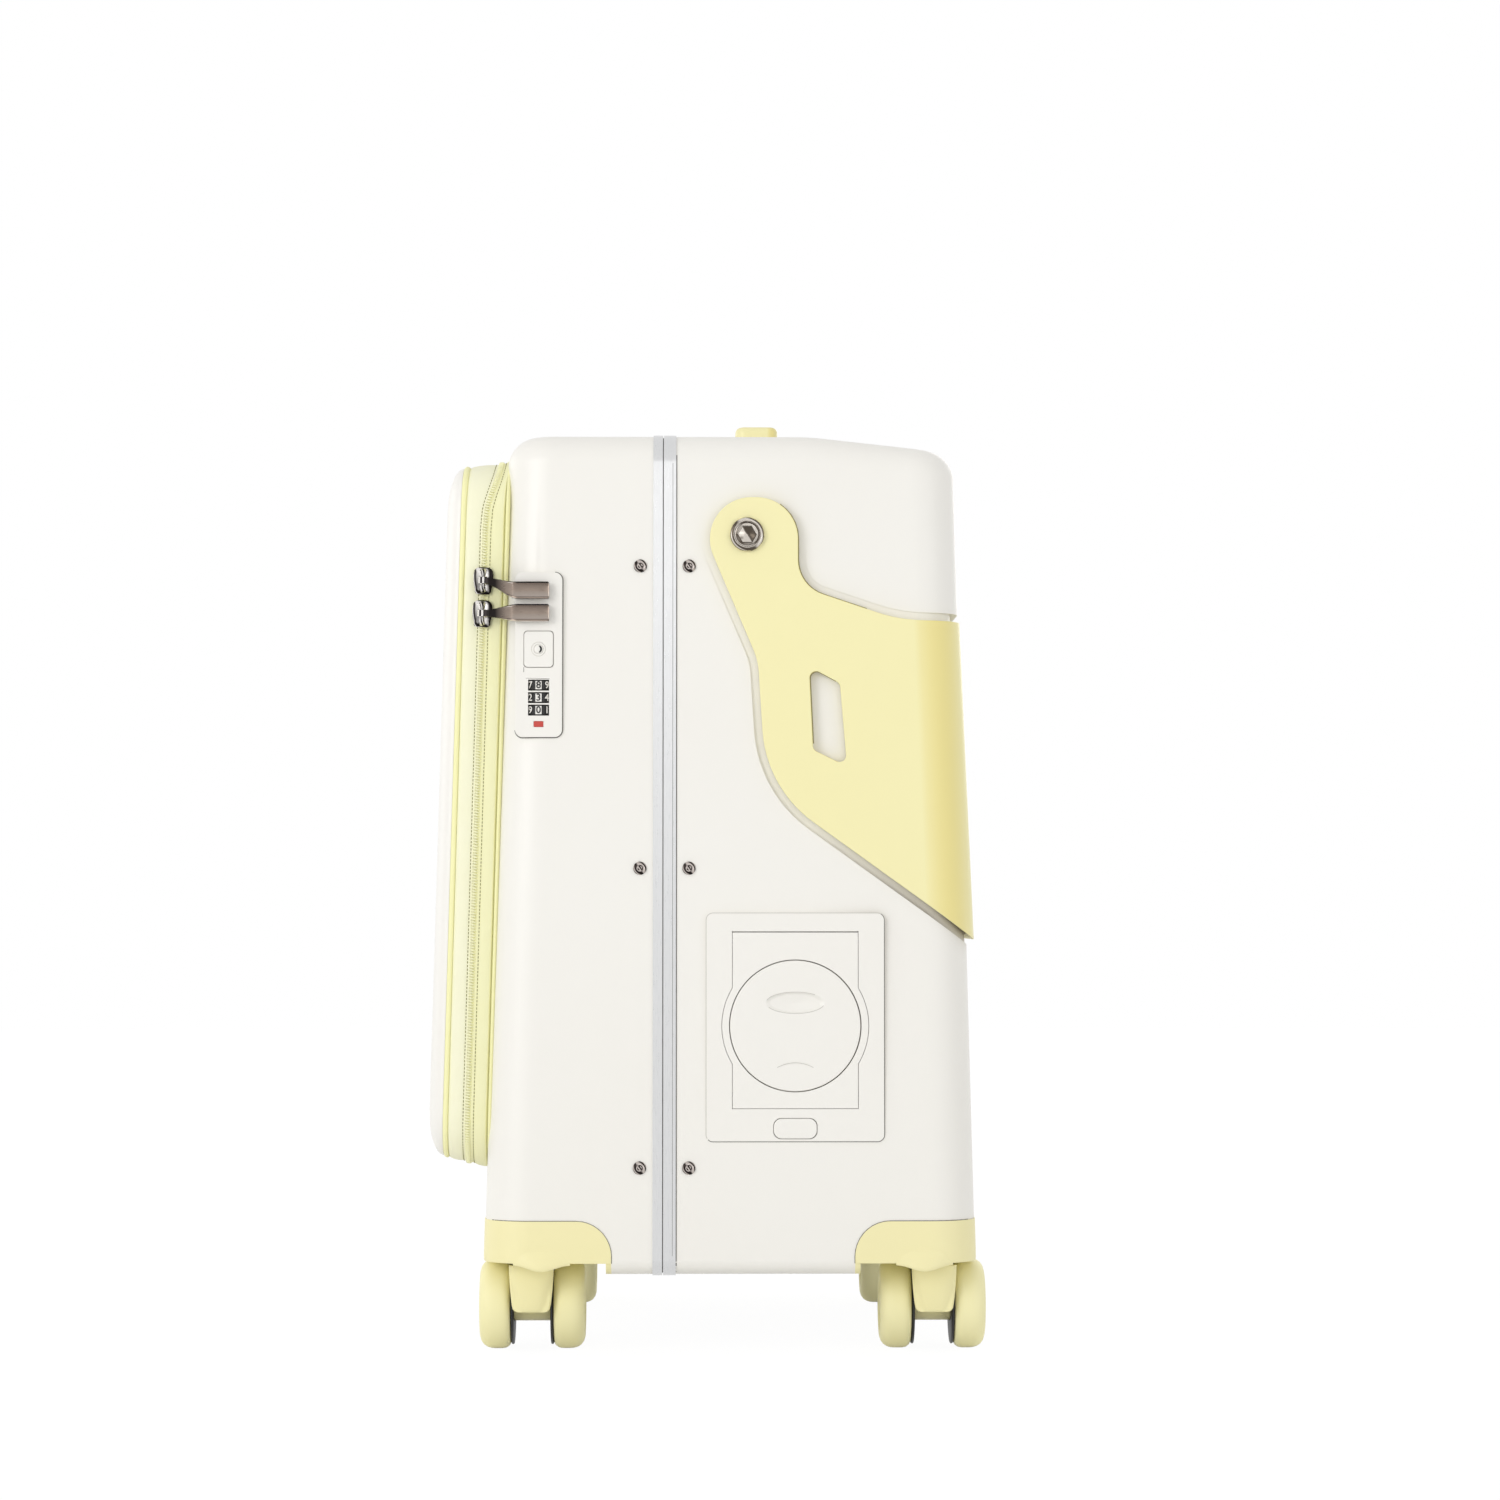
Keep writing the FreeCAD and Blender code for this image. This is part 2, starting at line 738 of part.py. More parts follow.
def lean(solid):
    """Move a solid from the lid's own upright frame to the front face of the case."""
    leaned = solid.copy()
    leaned.rotate(Vec(0, 0, 0), Vec(0, 1, 0), lean_angle)
    leaned.translate(lid_foot)
    return leaned


def draw_in(depth):
    """How far the sides of the lid have drawn in at a depth."""
    fabric_part = lid_draw_in * min(depth, fabric_depth) / fabric_depth
    share = max(depth - fabric_depth, 0) / lid_shell_depth
    return fabric_part + lid_crown_run * (1 - math.sqrt(max(1 - share * share, 0)))


def lid_section(depth, extra):
    inset = draw_in(depth) + extra
    radius = max(lid_corner_radius - inset, lid_crown_radius)
    return rectangle_x(-depth, inset - lid_half, lid_half - inset, inset, lid_height - inset, radius)


def lid_ring(depth0, depth1, proud):
    """A hoop of the lid's side between two depths, standing proud of the fabric."""
    outside = Part.makeLoft([lid_section(depth0, -proud), lid_section(depth1, -proud)], True, True)
    inside = Part.makeLoft([lid_section(depth0, fabric_thickness), lid_section(depth1, fabric_thickness)],
                           True, True)
    return outside.cut(inside)


lid_teeth_start = tape_depth + teeth_depth + teeth_gap
band_start = lid_teeth_start + teeth_depth
piping_start = band_start + band_depth
zip_middle = tape_depth + teeth_depth + teeth_gap / 2
hinge_y = lid_half - draw_in(zip_middle) + fit_clearance
hinge_gap = box(-zip_middle - teeth_depth * 2, -zip_middle + teeth_depth * 2,
                lid_half - lid_corner_radius, far, -far, 2 * far)
zip_tape = lid_ring(0, tape_depth, 0)
case_teeth = lid_ring(tape_depth, tape_depth + teeth_depth, teeth_proud).cut(hinge_gap)
lid_teeth = lid_ring(lid_teeth_start, band_start, teeth_proud).cut(hinge_gap)
lid_band = lid_ring(band_start, piping_start, 0)
lid_piping = lid_ring(piping_start, fabric_depth, piping_proud)
hinge_strip = rod_z(lid_corner_radius, lid_height - lid_corner_radius, -zip_middle,
                    hinge_y, hinge_bead_radius)

crown_shares = (0.0, 0.4, 0.7, 0.9, 1.0)
lid_outside = Part.makeLoft(
    [lid_section(fabric_depth + share * lid_shell_depth, 0) for share in crown_shares], True, True)
lid_inside = Part.makeLoft(
    [lid_section(fabric_depth + share * (lid_shell_depth - lid_wall), lid_wall) for share in crown_shares],
    True, True)
lid_shell = lid_outside.cut(lid_inside)

front_opening = Part.Face(rectangle_x(
    -lid_wall, front_opening_margin - lid_half, lid_half - front_opening_margin, front_opening_margin,
    lid_height - front_opening_margin, front_opening_radius)).extrude(Vec(front_opening_margin, 0, 0))
front_shell = front_shell.cut(lean(front_opening))

keep("zip_tape_case", lean(zip_tape))
keep("zip_teeth_case", lean(case_teeth))
keep("zip_teeth_lid", lean(lid_teeth))
keep("lid_band", lean(lid_band))
keep("lid_piping", lean(lid_piping))
keep("lid_hinge_strip", lean(hinge_strip))
keep("lid_shell", lean(lid_shell))

# Zip sliders with their bails, and the pull bars that reach across to the lock.

slider_inner = lid_half - draw_in(zip_middle) + teeth_proud + slider_clearance
slider_outer = slider_inner + slider_height
bail_y = -slider_outer - slider_bail_stand_off
lug_inner = pull_eye_height / 2 + fit_clearance
lug_outer = lug_inner + slider_lug
lock_x = seam - lock_reach
lock_face = half_width(lock_bottom + lock_height / 2) + lock_proud
pull_bar_outer = lock_face + pull_stand_off
pull_bar_inner = pull_bar_outer - pull_bar_thickness


def zip_slider(height):
    """The slider body over the teeth, with two lugs and the pin that carries the pull bar."""
    middle = (height - lid_bottom) / math.cos(math.radians(lean_angle))
    body = plate_y(-zip_middle - slider_width / 2, -zip_middle + slider_width / 2,
                   middle - slider_length / 2, middle + slider_length / 2,
                   -slider_outer, -slider_inner, slider_round)
    lugs = []
    for z0, z1 in ((-lug_outer, -lug_inner), (lug_inner, lug_outer)):
        lugs.append(box(-zip_middle - slider_lug, -zip_middle + slider_lug,
                        bail_y - slider_lug, -slider_outer, middle + z0, middle + z1))
    pin = rod_z(middle - lug_inner, middle + lug_inner, -zip_middle, bail_y, pull_pin_radius)
    return lean(fuse([body, lugs[0], lugs[1], pin]))


def pull_bar(height, bar_height):
    """An eye round the slider's pin, a twisted neck and a flat bar with a raised rim."""
    middle = (height - lid_bottom) / math.cos(math.radians(lean_angle))
    eye = lean(rod_z(middle - pull_eye_height / 2, middle + pull_eye_height / 2, -zip_middle, bail_y,
                     pull_eye_radius))
    bore = lean(rod_z(0, lid_height, -zip_middle, bail_y, pull_pin_radius + running_clearance))
    pin_place = lean(Part.Vertex(Vec(-zip_middle, bail_y, middle))).Point
    bar_end = seam - pull_end_reach
    bar_start = bar_end - pull_bar_length
    bar = plate_y(bar_start, bar_end, bar_height - pull_bar_width / 2, bar_height + pull_bar_width / 2,
                  -pull_bar_outer, -pull_bar_inner, pull_bar_round)
    tray = plate_y(bar_start + 2 * pull_rim, bar_end - pull_rim,
                   bar_height - pull_bar_width / 2 + pull_rim, bar_height + pull_bar_width / 2 - pull_rim,
                   -pull_bar_outer, -pull_bar_outer + pull_tray_depth, pull_bar_round - pull_rim / 4)
    neck_start = [
        Vec(pin_place.x, pin_place.y - pull_neck_root, pin_place.z - pull_neck_root),
        Vec(pin_place.x, pin_place.y - pull_neck_root, pin_place.z + pull_neck_root),
        Vec(pin_place.x + pull_neck_root, pin_place.y, pin_place.z + pull_neck_root),
        Vec(pin_place.x + pull_neck_root, pin_place.y, pin_place.z - pull_neck_root),
    ]
    neck_half = pull_neck_width / 2
    neck_end = [
        Vec(bar_start, -pull_bar_outer, bar_height - neck_half),
        Vec(bar_start, -pull_bar_outer, bar_height + neck_half),
        Vec(bar_start, -pull_bar_inner, bar_height + neck_half),
        Vec(bar_start, -pull_bar_inner, bar_height - neck_half),
    ]
    neck = Part.makeLoft([Part.makePolygon(neck_start + neck_start[:1]),
                          Part.makePolygon(neck_end + neck_end[:1])], True, True)
    return fuse([eye, neck, bar.cut(tray)]).cut(bore)


for place, height, bar_height in zip(("upper", "lower"), slider_heights, pull_heights):
    keep(place + "_zip_slider", zip_slider(height))
    keep(place + "_zip_pull", pull_bar(height, bar_height))

# Combination lock.

lock_top = lock_bottom + lock_height
plate_inner = lock_face - lock_plate_thickness
body_inner = plate_inner - lock_body_depth
lock_x0 = lock_x - lock_width / 2
lock_x1 = lock_x + lock_width / 2
lock_plate = plate_y(lock_x0, lock_x1, lock_bottom, lock_top, -lock_face, -plate_inner, lock_corner_radius)
lock_body = box(lock_x0 + lock_body_margin, lock_x1 - lock_body_margin, -plate_inner, -body_inner,
                lock_bottom + lock_body_margin, lock_top - lock_body_margin)
front_shell = front_shell.cut(
    plate_y(lock_x0, lock_x1, lock_bottom, lock_top, -far, -plate_inner, lock_corner_radius))
front_shell = front_shell.cut(lock_body)

button_face = lock_face + lock_button_proud
button_back = button_face - lock_button_thickness
button_half = lock_button_width / 2
button_low = lock_button_middle - lock_button_height / 2
button_high = lock_button_middle + lock_button_height / 2
button_round = lock_corner_radius / 2
lock_button = plate_y(lock_x - button_half, lock_x + button_half, button_low, button_high,
                      -button_face, -button_back, button_round)
lock_button = lock_button.cut(
    rod_y(-far, 0, lock_x, lock_button_middle, key_core_radius + running_clearance))
button_well = plate_y(lock_x - button_half - fit_clearance, lock_x + button_half + fit_clearance,
                      button_low - fit_clearance, button_high + fit_clearance,
                      -far, -button_back + lock_button_travel + fit_clearance, button_round)
core_back = button_face - key_core_length
core_well = rod_y(-far, -core_back + lock_button_travel + fit_clearance, lock_x, lock_button_middle,
                  key_core_radius + fit_clearance)
key_core = rod_y(-button_face, -core_back, lock_x, lock_button_middle, key_core_radius)
key_core = key_core.cut(box(lock_x - key_slot_width / 2, lock_x + key_slot_width / 2,
                            -button_face, -button_face + key_core_length / 2,
                            lock_button_middle - key_slot_height / 2,
                            lock_button_middle + key_slot_height / 2))

lock_case = fuse([lock_plate, lock_body]).cut(button_well).cut(core_well)
dial_y = -(lock_face + dial_proud) + dial_radius
dial_half = dial_width / 2
for number, height in enumerate(dial_heights, 1):
    dial = rod_z(height - dial_half, height + dial_half, lock_x, dial_y, dial_radius)
    dial = dial.cut(rod_z(0, 2 * far, lock_x, dial_y, dial_shaft_radius + running_clearance))
    keep("lock_dial_%d" % number, dial)
    slot_low = height - dial_half - fit_clearance
    slot_high = height + dial_half + fit_clearance
    lock_case = lock_case.cut(rod_z(slot_low, slot_high, lock_x, dial_y, dial_radius + fit_clearance))
    lock_case = lock_case.cut(box(lock_x - dial_window_width / 2, lock_x + dial_window_width / 2,
                                  -far, -plate_inner, slot_low, slot_high))
shaft_low = min(dial_heights) - dial_width
shaft_high = max(dial_heights) + dial_width
lock_case = fuse([lock_case, rod_z(shaft_low, shaft_high, lock_x, dial_y, dial_shaft_radius)])
indicator = box(lock_x - indicator_width / 2, lock_x + indicator_width / 2,
                -lock_face, -plate_inner + lock_proud / 2,
                indicator_middle - indicator_height / 2, indicator_middle + indicator_height / 2)
lock_case = lock_case.cut(indicator)

keep("lock_plate", lock_case)
keep("lock_button", lock_button)
keep("key_core", key_core)
keep("lock_indicator", indicator)

# Fold-out cup holder: a bezel with a shallow box, a ring hinged at its top and a base hinged below.

cup_x = seam + cup_reach
bezel_face = half_width(cup_height) + bezel_proud
bezel_back = bezel_face - bezel_plate
box_back = bezel_face - bezel_box_depth
bezel_half = bezel_width / 2
ring_half = ring_plate_width / 2
cavity_half = ring_bulge_radius + fit_clearance
cavity_low = ring_plate_bottom - fit_clearance
cavity_high = ring_plate_top + ring_top_gap
bezel_outline = plate_y(cup_x - bezel_half, cup_x + bezel_half, bezel_bottom, bezel_top,
                        -bezel_face, -bezel_back, bezel_corner_radius)
bezel_box = box(cup_x - cavity_half - bezel_wall, cup_x + cavity_half + bezel_wall, -bezel_back, -box_back,
                cavity_low - bezel_wall, cavity_high + bezel_wall)
ring_opening = fuse([
    box(cup_x - ring_half - fit_clearance, cup_x + ring_half + fit_clearance, -bezel_face, -bezel_back,
        cavity_low, cavity_high),
    rod_y(-bezel_face, -bezel_back, cup_x, cup_height, cavity_half),
])
box_cavity = box(cup_x - cavity_half, cup_x + cavity_half, -bezel_back, -box_back - bezel_wall,
                 cavity_low, cavity_high)
button_x0 = cup_x - cup_button_width / 2
button_x1 = cup_x + cup_button_width / 2
button_z0 = cup_button_middle - cup_button_height / 2
button_z1 = cup_button_middle + cup_button_height / 2
cup_button_face = bezel_face + cup_button_proud
cup_button_back = cup_button_face - cup_button_thickness
cup_button_hole = plate_y(button_x0 - fit_clearance, button_x1 + fit_clearance, button_z0 - fit_clearance,
                          button_z1 + fit_clearance, -far, -cup_button_back + cup_button_travel * 2,
                          cup_button_round)
cup_button = plate_y(button_x0, button_x1, button_z0, button_z1, -cup_button_face, -cup_button_back,
                     cup_button_round)

ring_pivot_y = -bezel_face + ring_pivot_depth
base_pivot_y = -bezel_face + base_pivot_depth
ring_pins = []
for side in (-1, 1):
    pin_inner = cup_x + side * (ring_half - ring_pin_length / 2)
    pin_outer = cup_x + side * (ring_half + ring_pin_length / 2)
    ring_pins.append(rod_x(min(pin_inner, pin_outer), max(pin_inner, pin_outer), ring_pivot_y,
                           ring_pivot_height, ring_pin_radius))
base_pin_half = cavity_half + bezel_wall / 2
base_pin = rod_x(cup_x - base_pin_half, cup_x + base_pin_half, base_pivot_y, base_pivot_height,
                 base_pin_radius)
cup_bezel = fuse([bezel_outline, bezel_box]).cut(ring_opening).cut(box_cavity).cut(cup_button_hole)
cup_bezel = cup_bezel.cut(Part.makeCompound(ring_pins + [base_pin]))
rear_shell = rear_shell.cut(plate_y(cup_x - bezel_half, cup_x + bezel_half, bezel_bottom, bezel_top,
                                    -far, -bezel_back, bezel_corner_radius))
rear_shell = rear_shell.cut(bezel_box).cut(cup_button_hole)

ring_back = -bezel_face + ring_plate_thickness
cup_ring = fuse([
    box(cup_x - ring_half, cup_x + ring_half, -bezel_face, ring_back, ring_plate_bottom, ring_plate_top),
    rod_y(-bezel_face, ring_back, cup_x, cup_height, ring_bulge_radius),
]).cut(rod_y(-bezel_face, ring_back, cup_x, cup_height, ring_hole_radius))
for side in (-1, 1):
    bore_inner = cup_x + side * (ring_half - ring_pin_length / 2 - fit_clearance)
    bore_outer = cup_x + side * (ring_half + fit_clearance)
    cup_ring = cup_ring.cut(rod_x(min(bore_inner, bore_outer), max(bore_inner, bore_outer), ring_pivot_y,
                                  ring_pivot_height, ring_pin_radius + running_clearance))

disc_back = -bezel_face + base_disc_thickness
arm_half = base_arm_width / 2
arm_low = cup_height - base_disc_radius + base_arm_inset
arm_back = base_pivot_y + base_ear_radius
cup_base = fuse([
    rod_y(-bezel_face, disc_back, cup_x, cup_height, base_disc_radius),
    box(cup_x - arm_half, cup_x + arm_half, disc_back, arm_back,
        arm_low, base_pivot_height + base_arm_height),
    box(cup_x - arm_half, cup_x + arm_half, base_pivot_y - base_ear_radius, arm_back,
        base_pivot_height, arm_low),
    rod_x(cup_x - arm_half, cup_x + arm_half, base_pivot_y, base_pivot_height, base_ear_radius),
])
cup_base = cup_base.cut(rod_x(cup_x - arm_half, cup_x + arm_half, base_pivot_y, base_pivot_height,
                              base_pin_radius + running_clearance))
scoop_face = Part.Face(Part.Wire(Part.Ellipse(
    Vec(cup_x + scoop_length / 2, -bezel_face, cup_height + scoop_lift),
    Vec(cup_x, -bezel_face, cup_height + scoop_lift + scoop_height / 2),
    Vec(cup_x, -bezel_face, cup_height + scoop_lift)).toShape()))
cup_base = cup_base.cut(scoop_face.extrude(Vec(0, scoop_depth, 0)))

keep("cup_bezel", cup_bezel)
keep("cup_pins", ring_pins[0], ring_pins[1], base_pin)
keep("cup_ring", cup_ring)
keep("cup_base", cup_base)
keep("cup_button", cup_button)

# Pull handle: three nested pairs of tubes, a grip with its button, a housing and a foot.

trolley_x = seam + trolley_reach
tube_sides = (-trolley_spacing / 2, trolley_spacing / 2)
housing_seat = case_top - housing_sink
housing_floor = housing_seat - housing_depth
cavity_floor = housing_floor + housing_wall
inner_floor = case_bottom + shell_wall
middle_tube_radius = outer_tube_radius - tube_wall - tube_clearance
inner_tube_radius = middle_tube_radius - tube_wall - tube_clearance
grip_bottom = grip_top - grip_thickness
foot_top = inner_floor + foot_height


def tube_pair(radius, bottom, top):
    tubes = []
    for y in tube_sides:
        tube = rod_z(bottom, top, trolley_x, y, radius)
        tubes.append(tube.cut(rod_z(bottom, top, trolley_x, y, radius - tube_wall)))
    return tubes


foot_half = outer_tube_radius + foot_margin
foot = slab_z(trolley_x - foot_half, trolley_x + foot_half, tube_sides[0] - foot_half,
              tube_sides[1] + foot_half, inner_floor, foot_top, foot_half / 2)
housing_half = housing_width / 2
housing_end = housing_length / 2
housing_block = slab_z(trolley_x - housing_half, trolley_x + housing_half, -housing_end, housing_end,
                       housing_floor, housing_seat, housing_half / 2)
flange_half = housing_half + housing_flange
flange_end = housing_end + housing_flange
housing_rim = slab_z(trolley_x - flange_half, trolley_x + flange_half, -flange_end, flange_end,
                     housing_seat, housing_seat + housing_flange_thickness, flange_half / 2)
housing_collar = slab_z(trolley_x - flange_half, trolley_x + flange_half, -flange_end, flange_end,
                        housing_seat - top_fall, housing_seat, flange_half / 2).cut(outer_case)
housing_cavity = slab_z(trolley_x - housing_half + housing_wall, trolley_x + housing_half - housing_wall,
                        -housing_end + housing_wall, housing_end - housing_wall,
                        cavity_floor, housing_seat + housing_depth, housing_half / 2)
housing = fuse([housing_block, housing_rim, housing_collar]).cut(housing_cavity)
rear_shell = rear_shell.cut(housing_block)
outer_tubes = tube_pair(outer_tube_radius, tube_bottom, cavity_floor)
for y in tube_sides:
    seat = rod_z(tube_bottom, cavity_floor, trolley_x, y, outer_tube_radius)
    foot = foot.cut(seat)
    housing = housing.cut(seat)
middle_tubes = tube_pair(middle_tube_radius, tube_bottom + tube_step, cavity_floor + tube_step)
inner_tubes = tube_pair(inner_tube_radius, tube_bottom + 2 * tube_step, grip_bottom + grip_thickness / 2)

grip = slab_z(trolley_x - grip_width / 2, trolley_x + grip_width / 2, -grip_length / 2, grip_length / 2,
              grip_bottom, grip_top, grip_width / 2 - running_clearance)
grip = grip.makeFillet(grip_round, edges_at(grip, "z", grip_top) + edges_at(grip, "z", grip_bottom))
for y in tube_sides:
    grip = grip.cut(rod_z(grip_bottom, grip_bottom + grip_thickness / 2, trolley_x, y, inner_tube_radius))
grip_button_bottom = grip_top + grip_button_proud - grip_button_thickness
grip_button = slab_z(trolley_x - grip_button_width / 2, trolley_x + grip_button_width / 2,
                     -grip_button_length / 2, grip_button_length / 2, grip_button_bottom,
                     grip_top + grip_button_proud, grip_button_width / 4)
grip = grip.cut(slab_z(trolley_x - grip_button_width / 2 - fit_clearance,
                       trolley_x + grip_button_width / 2 + fit_clearance,
                       -grip_button_length / 2 - fit_clearance, grip_button_length / 2 + fit_clearance,
                       grip_button_bottom - grip_button_travel - fit_clearance, housing_seat + housing_depth,
                       grip_button_width / 4))

keep("trolley_foot", foot)
keep("trolley_housing", housing)
keep("trolley_outer_tubes", *outer_tubes)
keep("trolley_middle_tubes", *middle_tubes)
keep("trolley_inner_tubes", *inner_tubes)
keep("trolley_grip", grip)
keep("trolley_button", grip_button)

# Carry handle on the top, whose legs slide in a sunk tray.

carry_x = seam + carry_reach
carry_half = carry_width / 2
carry_end = carry_length / 2
carry_bottom = carry_top - carry_thickness
tray_half = carry_tray_width / 2
tray_end = carry_tray_length / 2
tray_floor = case_top - carry_tray_depth
leg_half = carry_leg_width / 2
leg_inner = carry_end - carry_leg_thickness
tray_block = slab_z(carry_x - tray_half, carry_x + tray_half, -tray_end, tray_end, tray_floor, case_top,
                    tray_half / 2)
tray_rim = slab_z(carry_x - tray_half - carry_tray_flange, carry_x + tray_half + carry_tray_flange,
                  -tray_end - carry_tray_flange, tray_end + carry_tray_flange, case_top,
                  case_top + housing_flange_thickness, tray_half / 2)
finger_well = slab_z(carry_x - tray_half + carry_tray_wall, carry_x + tray_half - carry_tray_wall,
                     -leg_inner + carry_tray_wall, leg_inner - carry_tray_wall, tray_floor + carry_tray_wall,
                     case_top + carry_tray_depth, tray_half / 2)
carry_tray = fuse([tray_block, tray_rim]).cut(finger_well)
carry_handle = slab_z(carry_x - carry_half, carry_x + carry_half, -carry_end, carry_end, carry_bottom,
                      carry_top, carry_half / 2)
carry_handle = carry_handle.makeFillet(carry_round, edges_at(carry_handle, "z", carry_top))
leg_bottom = carry_bottom - carry_leg_length
for side in (-1, 1):
    y0 = min(side * leg_inner, side * carry_end)
    y1 = max(side * leg_inner, side * carry_end)
    leg = box(carry_x - leg_half, carry_x + leg_half, y0, y1, leg_bottom, carry_bottom)
    carry_handle = carry_handle.fuse(leg)
    carry_tray = carry_tray.cut(box(carry_x - leg_half - fit_clearance, carry_x + leg_half + fit_clearance,
                                    y0 - fit_clearance, y1 + fit_clearance, leg_bottom - fit_clearance,
                                    case_top + carry_tray_depth))
carry_handle = carry_handle.removeSplitter()
rear_shell = rear_shell.cut(tray_block)

keep("carry_tray", carry_tray)
keep("carry_handle", carry_handle)
keep("front_shell", front_shell)
keep("rear_shell", rear_shell)

# Write every sub-part out.

os.makedirs("parts", exist_ok=True)
for name, shape in nodes.items():
    shape.exportStep("parts/%s.step" % name)
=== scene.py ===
import json
import math

import bmesh
import bpy
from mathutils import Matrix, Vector
from mathutils.bvhtree import BVHTree


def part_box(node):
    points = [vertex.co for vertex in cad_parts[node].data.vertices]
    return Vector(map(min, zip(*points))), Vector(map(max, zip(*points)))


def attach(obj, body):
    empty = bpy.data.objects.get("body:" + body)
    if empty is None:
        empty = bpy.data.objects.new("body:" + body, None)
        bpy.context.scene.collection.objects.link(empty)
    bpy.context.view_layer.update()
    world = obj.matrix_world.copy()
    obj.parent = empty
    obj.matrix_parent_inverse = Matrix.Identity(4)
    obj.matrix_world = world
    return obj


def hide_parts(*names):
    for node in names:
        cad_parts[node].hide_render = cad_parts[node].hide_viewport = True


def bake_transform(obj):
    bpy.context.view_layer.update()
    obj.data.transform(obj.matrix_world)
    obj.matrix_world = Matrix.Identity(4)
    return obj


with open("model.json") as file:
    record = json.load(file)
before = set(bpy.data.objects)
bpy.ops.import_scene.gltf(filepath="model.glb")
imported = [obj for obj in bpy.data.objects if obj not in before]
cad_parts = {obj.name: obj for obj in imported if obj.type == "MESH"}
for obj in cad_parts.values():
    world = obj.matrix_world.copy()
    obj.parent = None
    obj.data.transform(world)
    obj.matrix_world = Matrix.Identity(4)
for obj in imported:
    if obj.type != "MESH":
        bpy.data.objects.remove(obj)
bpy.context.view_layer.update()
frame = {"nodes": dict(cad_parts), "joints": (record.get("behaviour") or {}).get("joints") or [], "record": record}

nodes = frame["nodes"]
joints = {joint["name"]: joint for joint in frame["joints"]}
slot_of_node = {part["node"]: part["material_slot"] for part in frame["record"]["subparts"]}

MM = 0.001
X = Vector((1, 0, 0))
Y = Vector((0, 1, 0))
Z = Vector((0, 0, 1))
SQUARE = ((-1, -1), (1, -1), (1, 1), (-1, 1))

# Camera, as the photograph was taken: square to the lock side, a little below the middle of the case.
CAMERA_PLACE = (-0.00836, -2.486, 0.267)
CAMERA_TURN = (92.36, 0, -0.85)
CAMERA_LENS = 92.2


def adjust(thing, **settings):
    """Set several properties of a thing."""
    for name, value in settings.items():
        setattr(thing, name, value)
    return thing


def add_object(name, data):
    made = bpy.data.objects.new(name, data)
    bpy.context.scene.collection.objects.link(made)
    return made


def make_camera():
    data = adjust(bpy.data.cameras.new("camera"), lens=CAMERA_LENS, sensor_width=36)
    turn = [math.radians(angle) for angle in CAMERA_TURN]
    bpy.context.scene.camera = adjust(add_object("camera", data), location=CAMERA_PLACE, rotation_euler=turn)


# Shader expressions.

# Painted shade in places that are closed in, found by ambient occlusion: a little anywhere, and more under the
# seat rail's tail.
SHADE_REACH = 0.014
SHADE_ANYWHERE = 0.06
SHADE_AT_TAIL = 0.9
TAIL_START = 0.060
TAIL_RUN = 0.085
TAIL_TOP = 0.350
TAIL_FADE = 0.03

# How the bands of painted reflection in bright metal follow the turn of its surface.
BAND_RIGHT = 7.0
BAND_UP = 5.0
BAND_CONTRAST = 1.2
BAND_LEVEL = 0.35


def maths(operation):
    """A method of Value that adds a Math node to its tree."""
    def add(first, *others):
        return first.tree.node("Math", dict(enumerate((first, *others))), operation=operation)
    return add


class Value:
    """A socket in a node tree, with arithmetic that adds Math nodes."""

    __add__ = __radd__ = maths("ADD")
    __sub__ = maths("SUBTRACT")
    __mul__ = maths("MULTIPLY")
    __truediv__ = maths("DIVIDE")
    most = maths("MAXIMUM")
    least = maths("MINIMUM")
    sine = maths("SINE")

    def __init__(self, tree, socket):
        self.tree = tree
        self.socket = socket

    def __rsub__(self, other):
        return self * -1 + other

    def held(self):
        """The value held between 0 and 1."""
        return self.most(0).least(1)


class Nodes:
    """A node tree that is being filled."""

    def __init__(self, tree):
        self.tree = tree
        self.tree.nodes.clear()

    def feed(self, socket, value):
        if isinstance(value, Value):
            self.tree.links.new(value.socket, socket)
        elif socket.type == "RGBA" and len(value) == 3:
            socket.default_value = (*value, 1)
        else:
            socket.default_value = value

    def node(self, kind, sockets=None, out=0, **settings):
        """Any shader node, with what goes into its sockets and its settings."""
        made = adjust(self.tree.nodes.new("ShaderNode" + kind), **settings)
        for key, value in (sockets or {}).items():
            self.feed(made.inputs[key], value)
        return Value(self, made.outputs[out]) if made.outputs else made

    def seen(self):
        """1 where the eye, a mirror or a glass looks, and 0 for other light."""
        rays = [self.node("LightPath", out="Is %s Ray" % kind)
                for kind in ("Camera", "Glossy", "Transmission")]
        return rays[0].most(rays[1]).most(rays[2])


def linear(colour):
    """A screen colour, 0 to 255, in the values that light works with."""
    return tuple(((c / 255 + 0.055) / 1.055) ** 2.4 if c > 10 else c / 3294 for c in colour)


